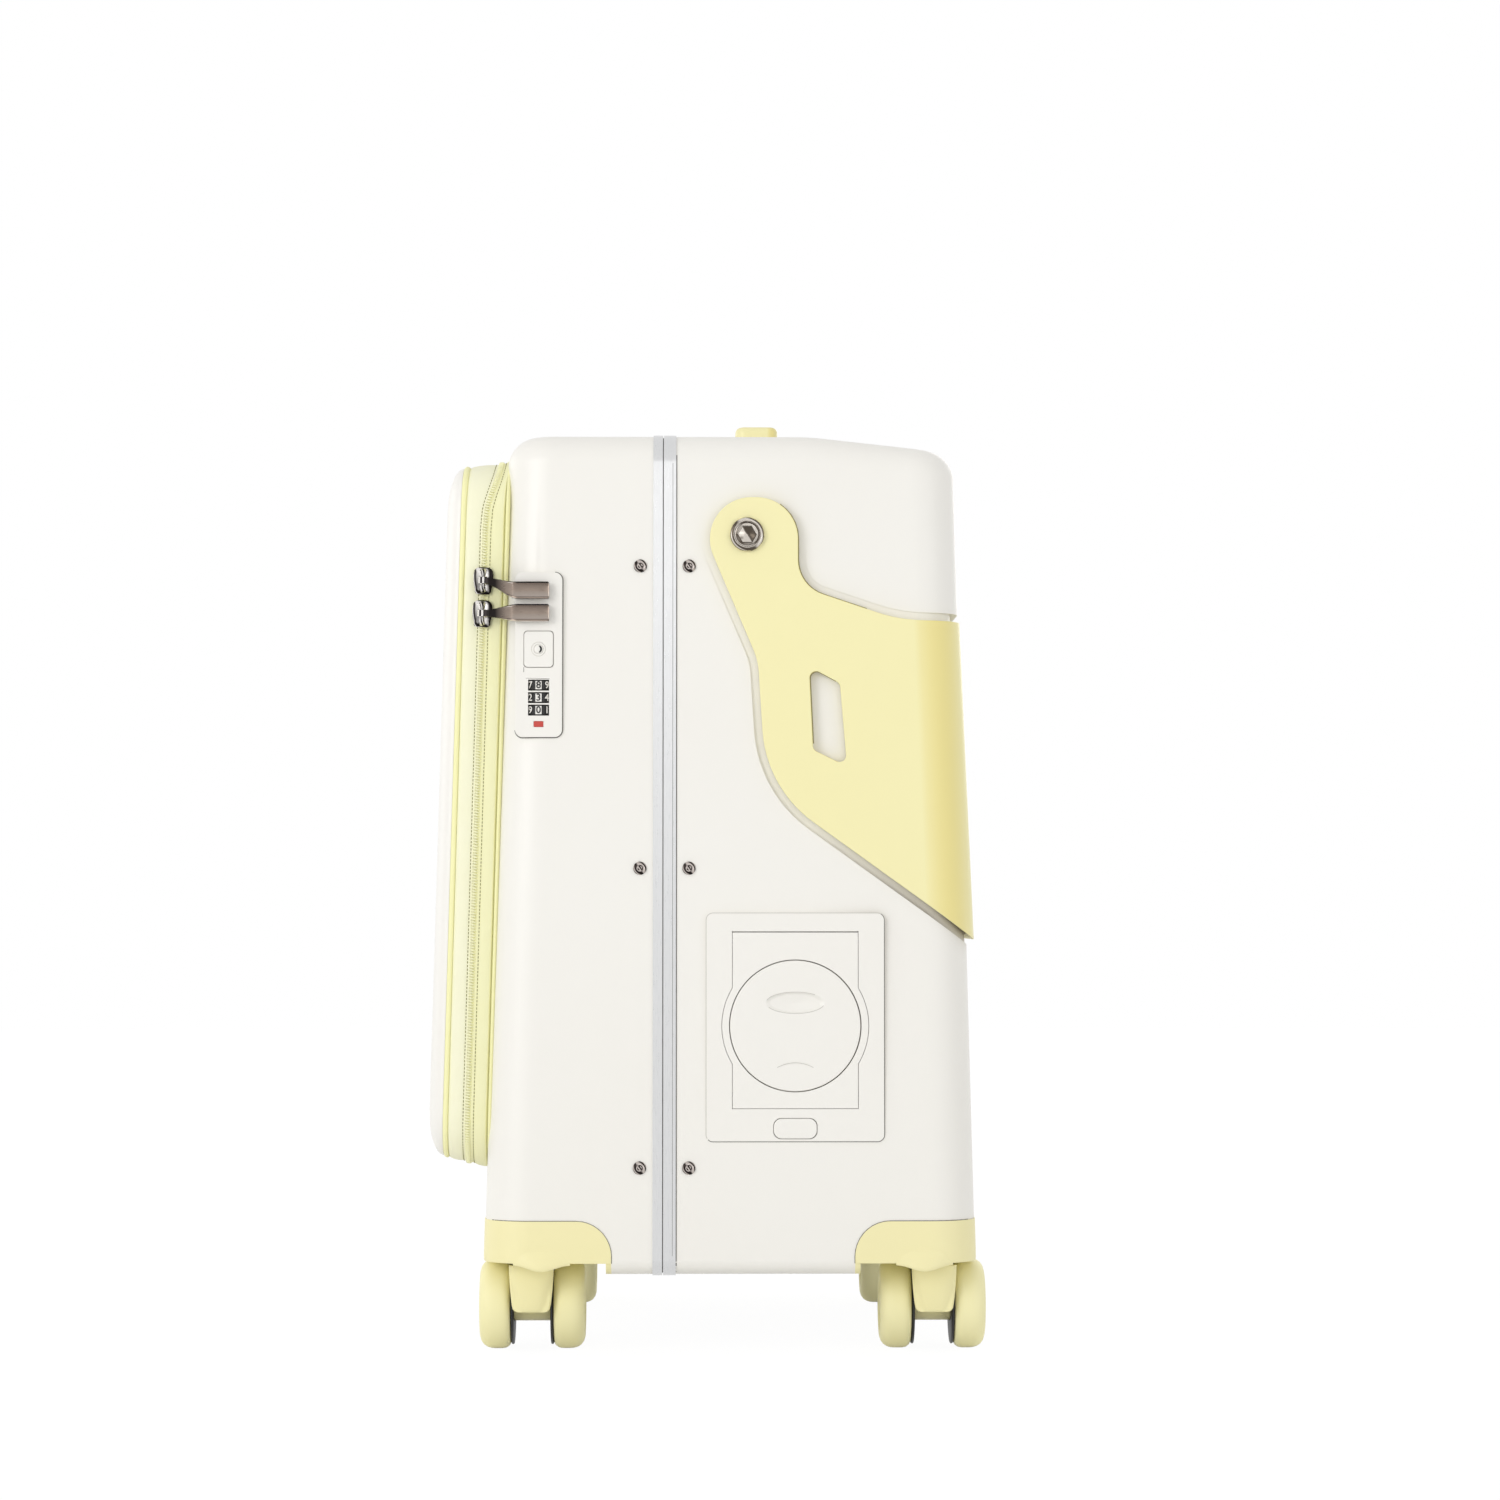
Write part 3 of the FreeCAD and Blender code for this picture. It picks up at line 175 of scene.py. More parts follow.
class Paint(Nodes):
    """A material with one shader. Its colours are given as screen colours."""

    def __init__(self, name, **constants):
        self.material = bpy.data.materials.new(name)
        self.material.use_nodes = True
        super().__init__(self.material.node_tree)
        shader = self.node("BsdfPrincipled")
        self.inputs = shader.socket.node.inputs
        self.node("OutputMaterial", {0: shader})
        self.set(**constants)

    def set(self, **values):
        for name, value in values.items():
            self.feed(self.inputs[name.replace("_", " ")], value)

    def axes(self, kind="Object"):
        """x, y and z of the place, or of the way that the surface faces."""
        vector = self.node("TexCoord", out=kind)
        return [self.node("SeparateXYZ", {0: vector}, out=i) for i in range(3)]

    def noise(self, scale, detail=3.0, stretch=(1, 1, 1)):
        place = self.node("TexCoord", out="Object")
        if stretch != (1, 1, 1):
            place = self.node("VectorMath", {0: place, 1: stretch}, operation="MULTIPLY")
        return self.node("TexNoise", {"Vector": place, "Scale": scale, "Detail": detail})

    def mix(self, factor, first, second):
        first, second = (tint if isinstance(tint, Value) else linear(tint) for tint in (first, second))
        return self.node("Mix", {0: factor, 6: first, 7: second}, out=2, data_type="RGBA")

    def painted_crevice_shade(self):
        """Where shade is painted: how far a place is closed in, which tells most under the rail's tail."""
        x, _, z = self.axes()
        openness = self.node("AmbientOcclusion", {"Distance": SHADE_REACH}, out="AO", samples=8)
        tail = ((x - TAIL_START) / TAIL_RUN).held() * ((TAIL_TOP - z) / TAIL_FADE).held()
        return (1 - openness) * (tail * SHADE_AT_TAIL + SHADE_ANYWHERE)

    def bands(self, shift):
        """Light and dark bands painted into the colour, as a painted reflection of a studio in bright metal."""
        right, _, up = self.axes("Normal")
        return ((right * BAND_RIGHT + up * BAND_UP + shift).sine() * BAND_CONTRAST + BAND_LEVEL).held()

    def finish(self, tint, rough, marks, spread, grain, bump, height=0.0002):
        """Colour, a roughness that spreads with some marks, and a bump by a grain."""
        normal = self.node("Bump", {"Height": grain, "Strength": bump, "Distance": height})
        self.set(Base_Color=tint, Roughness=rough + (marks - 0.5) * spread, Normal=normal)
        return self.material


# Finishes.

GRAIN = 2600
# How strongly painted shade is laid on the bend where a surface turns to the back.
BEND_SHADE = 3.6


def moulded(name, colour, warm, rough, grain=GRAIN, closed_in_shade=None, turned=None):
    """Moulded plastic. The colour after the grain is its painted shade deep where it is closed in, the last its
    painted shade on the bend to the back.
    """
    paint = Paint(name)
    flow = paint.noise(scale=7)
    tint = paint.mix(flow, colour, warm)
    if closed_in_shade:
        # Painted shade, darker where a place is closed in.
        tint = paint.mix(paint.painted_crevice_shade(), tint, closed_in_shade)
    if turned:
        # Painted shade, strongest halfway round the bend to the back.
        back = paint.axes("Normal")[0].most(0)
        tint = paint.mix((back * (1 - back) * BEND_SHADE).least(1), tint, turned)
    fine = paint.noise(grain, detail=2)
    return paint.finish(tint, rough, flow, spread=0.12, grain=fine, bump=0.12, height=0.0003)


THREAD_TURN = 2 * math.pi / 0.0007


def woven(name, colour, shade):
    """Close woven cloth, with its threads as two crossing waves."""
    paint = Paint(name, Sheen_Weight=0.25, Sheen_Roughness=0.5)
    x, y, z = paint.axes()
    warp = ((x + y) * THREAD_TURN).sine()
    weft = (z * THREAD_TURN).sine()
    threads = (warp * weft + 1) * 0.5
    patches = paint.noise(scale=60)
    tint = paint.mix(threads * 0.5 + patches * 0.4, shade, colour)
    return paint.finish(tint, 0.825, patches, spread=0.15, grain=threads, bump=0.35)


LINE_SCALE = 400


def drawn(name, colour, dark, rough, stretch):
    """Metal with fine drawn lines along its length."""
    paint = Paint(name, Metallic=1.0)
    lines = paint.noise(LINE_SCALE, stretch=stretch)
    return paint.finish(paint.mix(lines, dark, colour), rough, lines, spread=0.15, grain=lines, bump=0.08)


def plated(name, dark, bright, rough):
    """Plated steel with bands of painted reflection in it."""
    paint = Paint(name, Metallic=1.0)
    wear = paint.noise(scale=300)
    tint = paint.mix(paint.bands(shift=0.1), dark, bright)
    return paint.finish(tint, rough, wear, spread=0.1, grain=wear, bump=0.03)


# Gunmetal of the sliders and pulls. A pull's neck and its flat bar start at these places in x.
NECK_START = -0.1335
NECK_RUN = 0.002
PULL_FLAT_START = -0.1275
PULL_FLAT_RUN = 0.007


def gunmetal():
    """Dark plated metal: sliders with bands of painted reflection, and a brown grey flat on each pull with painted
    highlight and shade on its edges.
    """
    paint = Paint("gunmetal", Metallic=1.0)
    x = paint.axes()[0]
    right, _, up = paint.axes("Normal")
    lines = paint.noise(LINE_SCALE, stretch=(1, 1, 6))
    # Painted reflection: light and dark bands on the sliders.
    banded = paint.mix(paint.bands(shift=0.6), (34, 31, 31), (226, 222, 218))
    bar = paint.mix(lines, (128, 115, 105), (150, 136, 125))
    # Painted highlight on the bar's lower edge and painted shade on its upper and end edges: how fast the colour
    # turns there, and to what.
    edges = ((up * -2.2, (222, 214, 207)), (up * 2.6, (44, 40, 39)), (right * 1.5, (84, 76, 70)))
    for turned, colour in edges:
        bar = paint.mix(turned.held(), bar, colour)
    neck = ((x - NECK_START) / NECK_RUN).held()
    flat = ((x - PULL_FLAT_START) / PULL_FLAT_RUN).held()
    tint = paint.mix(flat, paint.mix(neck, banded, (40, 36, 35)), bar)
    return paint.finish(tint, 0.2 + flat * 0.1, lines, spread=0.12, grain=lines, bump=0.06)


# Colour, flow marks, roughness, grain, colour of painted shade where closed in, colour of painted shade on the
# bend.
MOULDED = {
    # The shell's last colour is painted shade deep where it is closed in.
    "shell_white": ((245, 242, 235), (247, 245, 239), 0.38, GRAIN, (112, 92, 62)),
    # The rail's last colour is painted shade on its bend to the back.
    "rail_yellow": ((248, 240, 182), (250, 243, 188), 0.40, GRAIN, None, (243, 228, 148)),
    "guard_yellow": ((246, 237, 181), (249, 241, 188), 0.42),
    "fork_yellow": ((247, 238, 180), (250, 243, 190), 0.42),
    "wheel_yellow": ((250, 243, 187), (252, 246, 196), 0.55, 1200),
    "zip_teeth": ((254, 253, 218), (250, 248, 206), 0.5),
    "thread": ((158, 154, 100), (140, 136, 86), 0.7),
    "faint_joint": ((204, 201, 194), (210, 207, 200), 0.6),
    "dark_joint": ((104, 102, 98), (118, 116, 112), 0.7),
    # Painted shadow along the seat rail's edges.
    "rail_joint": ((140, 131, 88), (150, 141, 98), 0.6),
    "seal_rubber": ((150, 148, 145), (162, 160, 157), 0.7),
    "bush_plastic": ((150, 150, 148), (160, 160, 158), 0.5),
    "dial_black": ((20, 19, 19), (28, 27, 27), 0.5),
    "indicator_red": ((196, 60, 52), (210, 84, 74), 0.3),
}
# Colour, shade.
WOVEN = {
    "fabric_yellow": ((250, 249, 210), (242, 239, 182)),
    "lid_fabric": ((254, 253, 231), (248, 246, 206)),
    "piping_yellow": ((255, 253, 200), (251, 248, 182)),
}
# Colour, dark, roughness, how far the lines are drawn out.
DRAWN = {
    "frame_aluminium": ((222, 222, 222), (206, 207, 208), 0.30, (6, 6, 0.3)),
    "bright_steel": ((190, 190, 190), (160, 160, 160), 0.3, (1, 1, 1)),
}
# Dark and bright of the painted reflection, roughness.
PLATED = {
    "rivet_steel": ((36, 31, 29), (190, 181, 175), 0.25),
    "bolt_steel": ((84, 76, 67), (206, 199, 190), 0.25),
}


def make_materials():
    made = {"gunmetal": gunmetal()}
    for finish, table in ((moulded, MOULDED), (woven, WOVEN), (drawn, DRAWN), (plated, PLATED)):
        for name, values in table.items():
            made[name] = finish(name, *values)
    return made


# Mesh building.

def steps(first, last, count):
    """Evenly spaced values from first to last, both included."""
    return [first + (last - first) * i / (count - 1) for i in range(count)]


def unit(turn):
    """The way at a turn in degrees."""
    return math.cos(math.radians(turn)), math.sin(math.radians(turn))


def arc(x, z, across, up, first, last, count):
    """Points on an arc round (x, z), from one turn in degrees to another."""
    return [(x + across * a, z + up * b) for a, b in map(unit, steps(first, last, count))]


def circle(count):
    """Evenly spaced angles once round."""
    return [2 * math.pi * i / count for i in range(count)]


def around(first, second, angle):
    """The way at an angle from a first way towards a second one."""
    return first * math.cos(angle) + second * math.sin(angle)


def smooth(share):
    """A share from 0 to 1 that starts and ends gently."""
    return share * share * (3 - 2 * share)


def directions(points):
    """The direction of a line at each of its points."""
    last = len(points) - 1
    return [(points[min(i + 1, last)] - points[max(i - 1, 0)]).normalized() for i in range(last + 1)]


class Shape:
    """A mesh made of rows of points and the faces between them."""

    def __init__(self):
        self.points = []
        self.faces = []

    def row(self, points):
        first = len(self.points)
        self.points.extend(tuple(point) for point in points)
        return list(range(first, len(self.points)))

    def tube(self, sections, ring=False):
        """A body through closed loops of points, with ends or closed in a ring."""
        rows = [self.row(section) for section in sections]
        if ring:
            rows.append(rows[0])
        else:
            self.faces += [tuple(rows[0][::-1]), tuple(rows[-1])]
        for low, high in zip(rows, rows[1:]):
            for i in range(len(low)):
                j = (i + 1) % len(low)
                self.faces.append((low[i], low[j], high[j], high[i]))
        return self

    def turned(self, profile, origin, axis, side, count=48, ring=False):
        """A body turned about an axis, from a profile of (radius, height) in millimetres.

        A radius may be a function of the angle from side."""
        across = axis.cross(side)
        sections = []
        for radius, height in profile:
            section = []
            for angle in circle(count):
                reach = radius(angle) if callable(radius) else radius
                section.append(origin + (axis * height + around(side, across, angle) * reach) * MM)
            sections.append(section)
        return self.tube(sections, ring)

    def build(self, name, slot, body, replaced=(), sharp=35, finish=None):
        """The piece itself, on its body. Edges that turn by more than sharp degrees stay sharp."""
        mesh = bpy.data.meshes.new(name)
        mesh.from_pydata(self.points, [], self.faces)
        form = bmesh.new()
        form.from_mesh(mesh)
        bmesh.ops.recalc_face_normals(form, faces=form.faces)
        form.to_mesh(mesh)
        form.free()
        mesh.materials.append(materials[finish or slot])
        mesh.shade_smooth()
        mesh.set_sharp_from_angle(angle=math.radians(sharp))
        made = add_object(name, mesh)
        if body:
            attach(made, body)
        if replaced:
            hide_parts(*replaced)
        return made


def surface_tree(node):
    mesh = nodes[node].data
    matrix = nodes[node].matrix_world
    return BVHTree.FromPolygons([matrix @ vertex.co for vertex in mesh.vertices],
                                [tuple(face.vertices) for face in mesh.polygons])


def on_surface(tree, x, z, side):
    """The surface of one side of the case at a place seen from that side."""
    return tree.ray_cast(Vector((x, side, z)), Y * -side)[0]


def pivot(joint):
    return Vector(joints[joint]["pos_m"])


# Front lid. Depth is measured outwards from the front face of the case, height up along it.

LID_HALF = 0.166
LID_HEIGHT = 0.432
LID_CORNER = 0.034
LID_DRAW_IN = 0.006
ZIP_MIDDLE = 0.0125
FABRIC_DEPTH = 0.0277
HINGE_PROUD = 0.0003
LID_UP = -Vector(joints["lid_hinge"]["axis"])
LID_OUT = LID_UP.cross(Y)
CORNER_STEPS = 12
STRAIGHT_STEPS = 30
FLARE = 0.0085
FLARE_RUN = 0.042

# Closed profiles of the fabric, as (depth, proud) in millimetres.
CORD_PROFILE = (
    (-2.6, -3.4), (-2.5, -1.8), (-2.2, -0.4), (-1.7, 0.8), (-1.1, 1.35), (-0.5, 1.35), (-0.1, 0.8),
    (0.1, 0), (0.2, -2.2), (0.2, -3.4),
)
TAPE_PROFILE = (
    (-0.6, -3.5), (-0.6, -1.8), (0.75, -1.8), (0.9, -0.2), (1.3, 0.3), (1.9, 0.6), (3, 0.8), (4.4, 0.85),
    (6, 0.85), (7.6, 0.6), (8.5, 0.2), (8.9, 0.05), (9.3, 0.15), (10.4, 0.2), (11.2, 0), (11.5, -0.3),
    (12.45, -0.35), (12.45, -3.5),
)
BAND_PROFILE = (
    (12.55, -2), (12.55, -0.35), (13.5, -0.3), (13.8, 0), (14.5, 0.2), (14.9, 0.15), (15.3, 0.05),
    (15.7, 0.2), (17, 0.6), (19.5, 0.9), (22, 0.8), (23.6, 0.4), (24.2, -0.2), (24.5, -0.7), (24.5, -2),
)
PIPING_PROFILE = (
    (24.5, -2), (24.5, -0.4), (24.7, 0.3), (25.2, 0.85), (26, 1.1), (26.8, 0.9), (27.4, 0.4), (27.7, -0.4),
    (27.7, -2),
)
HINGE_PROFILE = (
    (9.8, 0.3), (10.8, 0.5), (11.6, 0.6), (12.5, 0.6), (13.4, 0.6), (14.2, 0.5), (15.2, 0.3), (15.2, -0.2),
    (13.4, -0.1), (12.5, -0.1), (11.6, -0.1), (9.8, -0.2),
)
HINGE_BEND = (0.0114, 0.0136)


def fabric_inset(depth):
    return LID_DRAW_IN * min(depth, FABRIC_DEPTH) / FABRIC_DEPTH


HINGE_HALF = LID_HALF - fabric_inset(ZIP_MIDDLE)
LID_FOOT = (pivot("lid_hinge") - LID_OUT * ZIP_MIDDLE - Y * (HINGE_HALF + HINGE_PROUD)
            - LID_UP * LID_HEIGHT / 2)


def lid_place(depth, y, height):
    """A place on the lid. Near its top on the near side the zip line bends to the case."""
    rise = min(max((height - LID_HEIGHT) / FLARE_RUN + 1, 0), 1)
    share = max(1 - (depth / ZIP_MIDDLE - 1) ** 2, 0)
    nearness = min(max(0.5 - y / LID_HALF / 2, 0), 1)
    depth -= FLARE * smooth(rise) * share * nearness
    return LID_FOOT + LID_OUT * depth + Y * y + LID_UP * height


def lid_outline(inset, radius):
    """Round the lid from the far side's lower end, up, over, down and under: places and outward ways."""
    y = LID_HALF - inset - radius
    low = inset + radius
    high = LID_HEIGHT - inset - radius
    corners = ((y, low), (y, high), (-y, high), (-y, low), (y, low))
    found = []
    for turn, (y0, z0), (y1, z1) in zip((0, 90, 180, 270), corners, corners[1:]):
        for i in range(STRAIGHT_STEPS):
            share = i / STRAIGHT_STEPS
            found.append((y0 + (y1 - y0) * share, z0 + (z1 - z0) * share, unit(turn)))
        for i in range(CORNER_STEPS):
            found.append((y1, z1, unit(turn + 90 * i / CORNER_STEPS)))
    return [(y + way[0] * radius, z + way[1] * radius, way) for y, z, way in found]


def lid_line(depth, proud):
    """Points round the lid at a depth, standing proud of the fabric's own surface."""
    inset = fabric_inset(depth)
    return [lid_place(depth, y + way[0] * proud, height + way[1] * proud)
            for y, height, way in lid_outline(inset, LID_CORNER - inset)]


def lid_lines(profile):
    """Lines round the lid through the points of a profile in millimetres."""
    return [lid_line(depth * MM, proud * MM) for depth, proud in profile]


def lid_hoop(name, slot, body, profile, replaced=(), finish=None):
    """A fabric hoop round the lid from a closed profile."""
    hoop = Shape().tube(lid_lines(profile), ring=True)
    hoop.build(name, slot, body, replaced, sharp=60, finish=finish)


ZIP_FIRST = STRAIGHT_STEPS + CORNER_STEPS // 2
ZIP_LAST = 4 * STRAIGHT_STEPS + 3 * CORNER_STEPS + CORNER_STEPS // 2


def along_zip(depth, proud, pitch, offset=0):
    """Evenly spaced places along the zip, over the top, down the near side and under.

    Each has the line's direction and the way out of the fabric there."""
    line = lid_line(depth, proud)[ZIP_FIRST:ZIP_LAST]
    middle = lid_place(depth, 0, LID_HEIGHT / 2)
    travelled = -offset
    wanted = 0
    found = []
    for first, last in zip(line, line[1:]):
        length = (last - first).length
        way = (last - first).normalized()
        out = LID_OUT.cross(way).normalized()
        while wanted <= travelled + length:
            if wanted >= travelled:
                place = first.lerp(last, (wanted - travelled) / length)
                found.append((place, way, -out if out.dot(place - middle) < 0 else out))
            wanted += pitch
        travelled += length
    return found


TOOTH_PITCH = 0.0017
TOOTH_PROUD = 0.0006
TOOTH_OVERLAP = 0.0007
TOOTH_THICK = 0.00036
TOOTH_TALL = 0.0008
TOOTH_LEVELS = ((-1, 1), (0.3, 1), (1, 0.55))
CASE_TOOTH_ROOT = 0.0109
LID_TOOTH_ROOT = 0.0141


def zip_teeth(name, body, root, offset, replaced):
    """Coil teeth on one edge of the zip, which reach past its middle."""
    teeth = Shape()
    reach = ZIP_MIDDLE + (TOOTH_OVERLAP if root < ZIP_MIDDLE else -TOOTH_OVERLAP)
    depth = (root + reach) / 2
    half = abs(reach - root) / 2
    for place, way, up in along_zip(depth, TOOTH_PROUD, TOOTH_PITCH, offset):
        corners = [way * (a * TOOTH_THICK) + LID_OUT * (b * half) for a, b in SQUARE]
        teeth.tube([[place + up * (TOOTH_TALL * level) + corner * share for corner in corners]
                    for level, share in TOOTH_LEVELS])
    teeth.build(name, "zip_teeth", body, replaced)


STITCH_DEPTHS = {"case": 0.0089, "lid": 0.0153}
STITCH_PITCH = 0.0022
STITCH_HALF = STITCH_PITCH * 0.38
STITCH_PROUD = 0.00025
STITCH_DIP = 0.00035
STITCH_RADIUS = 0.00024
STITCH_ENDS = ((-1, 0.4), (-0.6, 1), (0.6, 1), (1, 0.4))


def stitching(name, body, depth):
    """A row of thread stitches sunk in the fabric beside the zip."""
    threads = Shape()
    for place, way, up in along_zip(depth, STITCH_PROUD, STITCH_PITCH):
        sections = []
        for share, size in STITCH_ENDS:
            middle = place + way * (share * STITCH_HALF) - up * (STITCH_DIP * (1 - size))
            sections.append([middle + around(LID_OUT, up, angle) * (STITCH_RADIUS * size)
                             for angle in circle(6)])
        threads.tube(sections)
    threads.build(name, "fabric_yellow", body, finish="thread")


def hinge_web():
    """The fabric along the far side that the lid swings on."""
    lines = [line[:STRAIGHT_STEPS + 1] for line in lid_lines(HINGE_PROFILE)]
    web = Shape().tube(list(zip(*lines)))
    made = web.build("hinge_web", "fabric_yellow", None, ["lid_hinge_strip"], sharp=60)
    start, end = (lid_place(depth, HINGE_HALF, LID_HEIGHT / 2) for depth in HINGE_BEND)
    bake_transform(made)
    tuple(start)
    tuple(end)


SHELL_DEPTH = 0.0096
SHELL_WALL = 0.0026
CROWN_RUN = 0.026
CROWN_CORNER = 0.012
CROWN_STEPS = 14
# The outer and the inner face of the lid's shell: its wall, and the insets of the flat in its middle.
CROWN_FACES = ((0, (0.036, 0.060)), (SHELL_WALL, (0.038, 0.060)))


def crown_rings(wall, flats):
    """One face of the lid's shell from its foot to its middle, as (inset, corner, depth)."""
    rings = []
    for across, rise in map(unit, steps(0, 90, CROWN_STEPS)):
        run = LID_DRAW_IN + CROWN_RUN * (1 - across)
        corner = max(LID_CORNER - run, CROWN_CORNER)
        rings.append((run + wall, corner, FABRIC_DEPTH + rise * (SHELL_DEPTH - wall)))
    return rings + [(inset, CROWN_CORNER, rings[-1][2]) for inset in flats]


def lid_crown():
    """The white shell of the lid: a shallow pan with rounded shoulders."""
    outer, inner = (crown_rings(*face) for face in CROWN_FACES)
    crown = [[lid_place(depth, y, height) for y, height, _ in lid_outline(inset, corner)]
             for inset, corner, depth in outer[::-1] + inner]
    Shape().tube(crown).build("lid_crown", "shell_white", "lid", ["lid_shell"], sharp=50)


def make_lid():
    lid_hoop("zip_tape", "fabric_yellow", "case", TAPE_PROFILE, ["zip_tape_case"])
    lid_hoop("case_cord", "piping_yellow", "case", CORD_PROFILE)
    lid_hoop("lid_gusset", "fabric_yellow", "lid", BAND_PROFILE, ["lid_band"], "lid_fabric")
    lid_hoop("lid_cord", "piping_yellow", "lid", PIPING_PROFILE, ["lid_piping"])
    zip_teeth("case_teeth", "case", CASE_TOOTH_ROOT, 0, ["zip_teeth_case"])
    zip_teeth("lid_teeth", "lid", LID_TOOTH_ROOT, TOOTH_PITCH / 2, ["zip_teeth_lid"])
    for body, depth in STITCH_DEPTHS.items():
        stitching(body + "_stitches", body, depth)
    hinge_web()
    lid_crown()


# Zip sliders and pulls. Forms are in millimetres.

SLIDER_LEVELS = ((3.4, 0.96), (2.6, 1), (0.9, 1), (0.2, 0.9), (0, 0.72))
SLIDER_ALONG = (8.3, 0.55)
SLIDER_ACROSS = (6.2, 0.6)
SLIDER_SINK = 0.0052
WAIST_DEPTH = 0.16
WAIST_PLACE = -0.35
WAIST_RUN = 0.3
BAIL_ARCH = (
    (-6.4, 0.8, 2.2), (-6, -1.2, 2), (-4.9, -2.8, 1.7), (-3.2, -3.4, 1.25), (0, -3.4, 1.2),
    (3.2, -3.4, 1.25), (4.9, -2.8, 1.7), (6, -1.2, 2), (6.4, 0.8, 2.2),
)
BAIL_THICK = 1.25


def squared(share, reach, power):
    """A share of a round outline, drawn out towards a square one."""
    return math.copysign(reach * abs(share) ** power, share)


def slider_outline():
    """A slider seen from outside, as (along, across): square-shouldered and waisted."""
    outline = []
    for angle in circle(40):
        along = math.cos(angle)
        waist = 1 - WAIST_DEPTH * math.exp(-((along - WAIST_PLACE) / WAIST_RUN) ** 2)
        outline.append((squared(along, *SLIDER_ALONG), squared(math.sin(angle), *SLIDER_ACROSS) * waist))
    return outline


def zip_slider(side):
    """A slider: a waisted body over the teeth and an arched bail for the pull."""
    pin = pivot(side + "_pull_swing")
    top = Vector((pin.x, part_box(side + "_zip_slider")[0].y + SLIDER_SINK, pin.z))
    slider = Shape()
    slider.tube([[top + (Y * lift + (LID_UP * along + LID_OUT * across) * grow) * MM
                  for along, across in slider_outline()] for lift, grow in SLIDER_LEVELS])
    middles = [top + (LID_UP * along + Y * lift) * MM for along, lift, _ in BAIL_ARCH]
    bail = []
    for middle, way, (_, _, size) in zip(middles, directions(middles), BAIL_ARCH):
        out = way.cross(LID_OUT) * min(size, BAIL_THICK)
        bail.append([middle + around(LID_OUT * size, out, angle) * MM for angle in circle(12)])
    slider.tube(bail)
    slider.build(side + "_slider", "gunmetal", side + "_slider", [side + "_zip_slider"], sharp=50)


# A pull from its eye to its tip: along, share of the way to the bar's place, half height, half
# thickness and how deep the face is sunk in its rim.
PULL_SECTIONS = (
    (0, 0, 2, 1.6, 0), (2.5, 0.05, 2.1, 1.7, 0), (5, 0.16, 2.4, 1.8, 0), (8, 0.36, 2.9, 1.7, 0),
    (11, 0.58, 3.6, 1.5, 0), (14, 0.8, 4.3, 1.3, 0.1), (17, 0.95, 4.9, 1.1, 0.4), (19.5, 1, 5.2, 1, 0.7),
    (24, 1, 5.25, 1, 0.8), (30, 1, 5.25, 1, 0.8), (36, 1, 5.25, 1, 0.8),
)
PULL_TIP = (4.7, 0.7, 0)
PULL_TIP_RUN = 0.0006
BAR_HALF = (0.001, 0.00525)
EYE_PROFILE = (
    (1.3, -2.1), (1.3, 2.1), (1.7, 2.45), (2.3, 2.45), (2.65, 2), (2.65, -2), (2.3, -2.45), (1.7, -2.45),
)


def zip_pull(side):
    """A pull: an eye round the bail, a neck that twists flat and a bar with a raised rim."""
    pin = pivot(side + "_pull_swing")
    low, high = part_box(side + "_zip_pull")
    tip = Vector((high.x, low.y + BAR_HALF[0], low.z + BAR_HALF[1]))
    stretch = (tip.x - PULL_TIP_RUN - pin.x) / PULL_SECTIONS[-1][0]
    pull = Shape()
    sections = []
    for along, share, *form in PULL_SECTIONS:
        middle = pin.lerp(tip, share)
        middle.x = pin.x + along * stretch
        sections.append(pull_section(middle, *form))
    pull.tube(sections + [pull_section(tip, *PULL_TIP)])
    pull.turned(EYE_PROFILE, pin, LID_UP, LID_OUT, 24, ring=True)
    pull.build(side + "_pull_bar", "gunmetal", side + "_pull", [side + "_zip_pull"], sharp=20)


def pull_section(middle, tall, thick, sunk):
    """A section of a pull: a rounded back, a bevel on top and a pillowed face in a rim."""
    bevel = 0.3 + sunk * 0.9
    rim = tall - bevel - 0.2
    outline = ((-tall, thick * 0.5), (-tall * 0.85, thick), (tall * 0.85, thick), (tall, thick * 0.5),
               (tall, -thick * 0.4), (tall - bevel, -thick), (rim, -thick), (rim - 0.3, -thick + sunk),
               (rim / 3, -thick + sunk * 0.6), (-rim / 3, -thick + sunk * 0.6), (0.3 - rim, -thick + sunk),
               (-rim, -thick), (0.3 - tall, -thick), (-tall, -thick * 0.6))
    return [middle + (Z * height + Y * depth) * MM for height, depth in outline]


# Casters, in millimetres.

CASTERS = ("front_near", "front_far", "back_near", "back_far")
WHEEL_MIDDLE = 22.3
WHEEL_PROFILE = (
    (3.1, -9), (9, -9), (16, -9.3), (20.5, -9.5), (23.6, -9.2), (25.4, -8.2), (26.6, -6.4), (27, -4),
    (27, 0.6), (26.8, 2.9), (26.1, 5.2), (24.8, 7.2), (22.8, 8.7), (20.2, 9.5), (17.6, 9.5), (16.4, 9.3),
    (15.6, 8.8), (15.2, 8), (14.4, 7.3), (12, 7.2), (8.6, 7.6), (6.8, 8.4), (6.2, 9), (3.1, 9.1),
)
# A black disc inside each wheel stands for painted shade.
SHADE_DISC_PROFILE = ((11, 11.2), (24.2, 11.2), (24.6, 11.5), (24.6, 12.4), (24.2, 12.7), (11, 12.7))
COLLAR_PROFILE = (
    (9, 44), (10.9, 47), (11.4, 49.4), (11.4, 52.3), (11.1, 52.7), (5, 52.7), (5, 61.8), (7.5, 61.8),
    (7.5, 64.4), (7.1, 64.8),
)
HUB_PROFILE = ((8, -11.6), (10, -11.2), (10.4, -10.4), (10.4, 10.4), (10, 11.2), (8, 11.6))
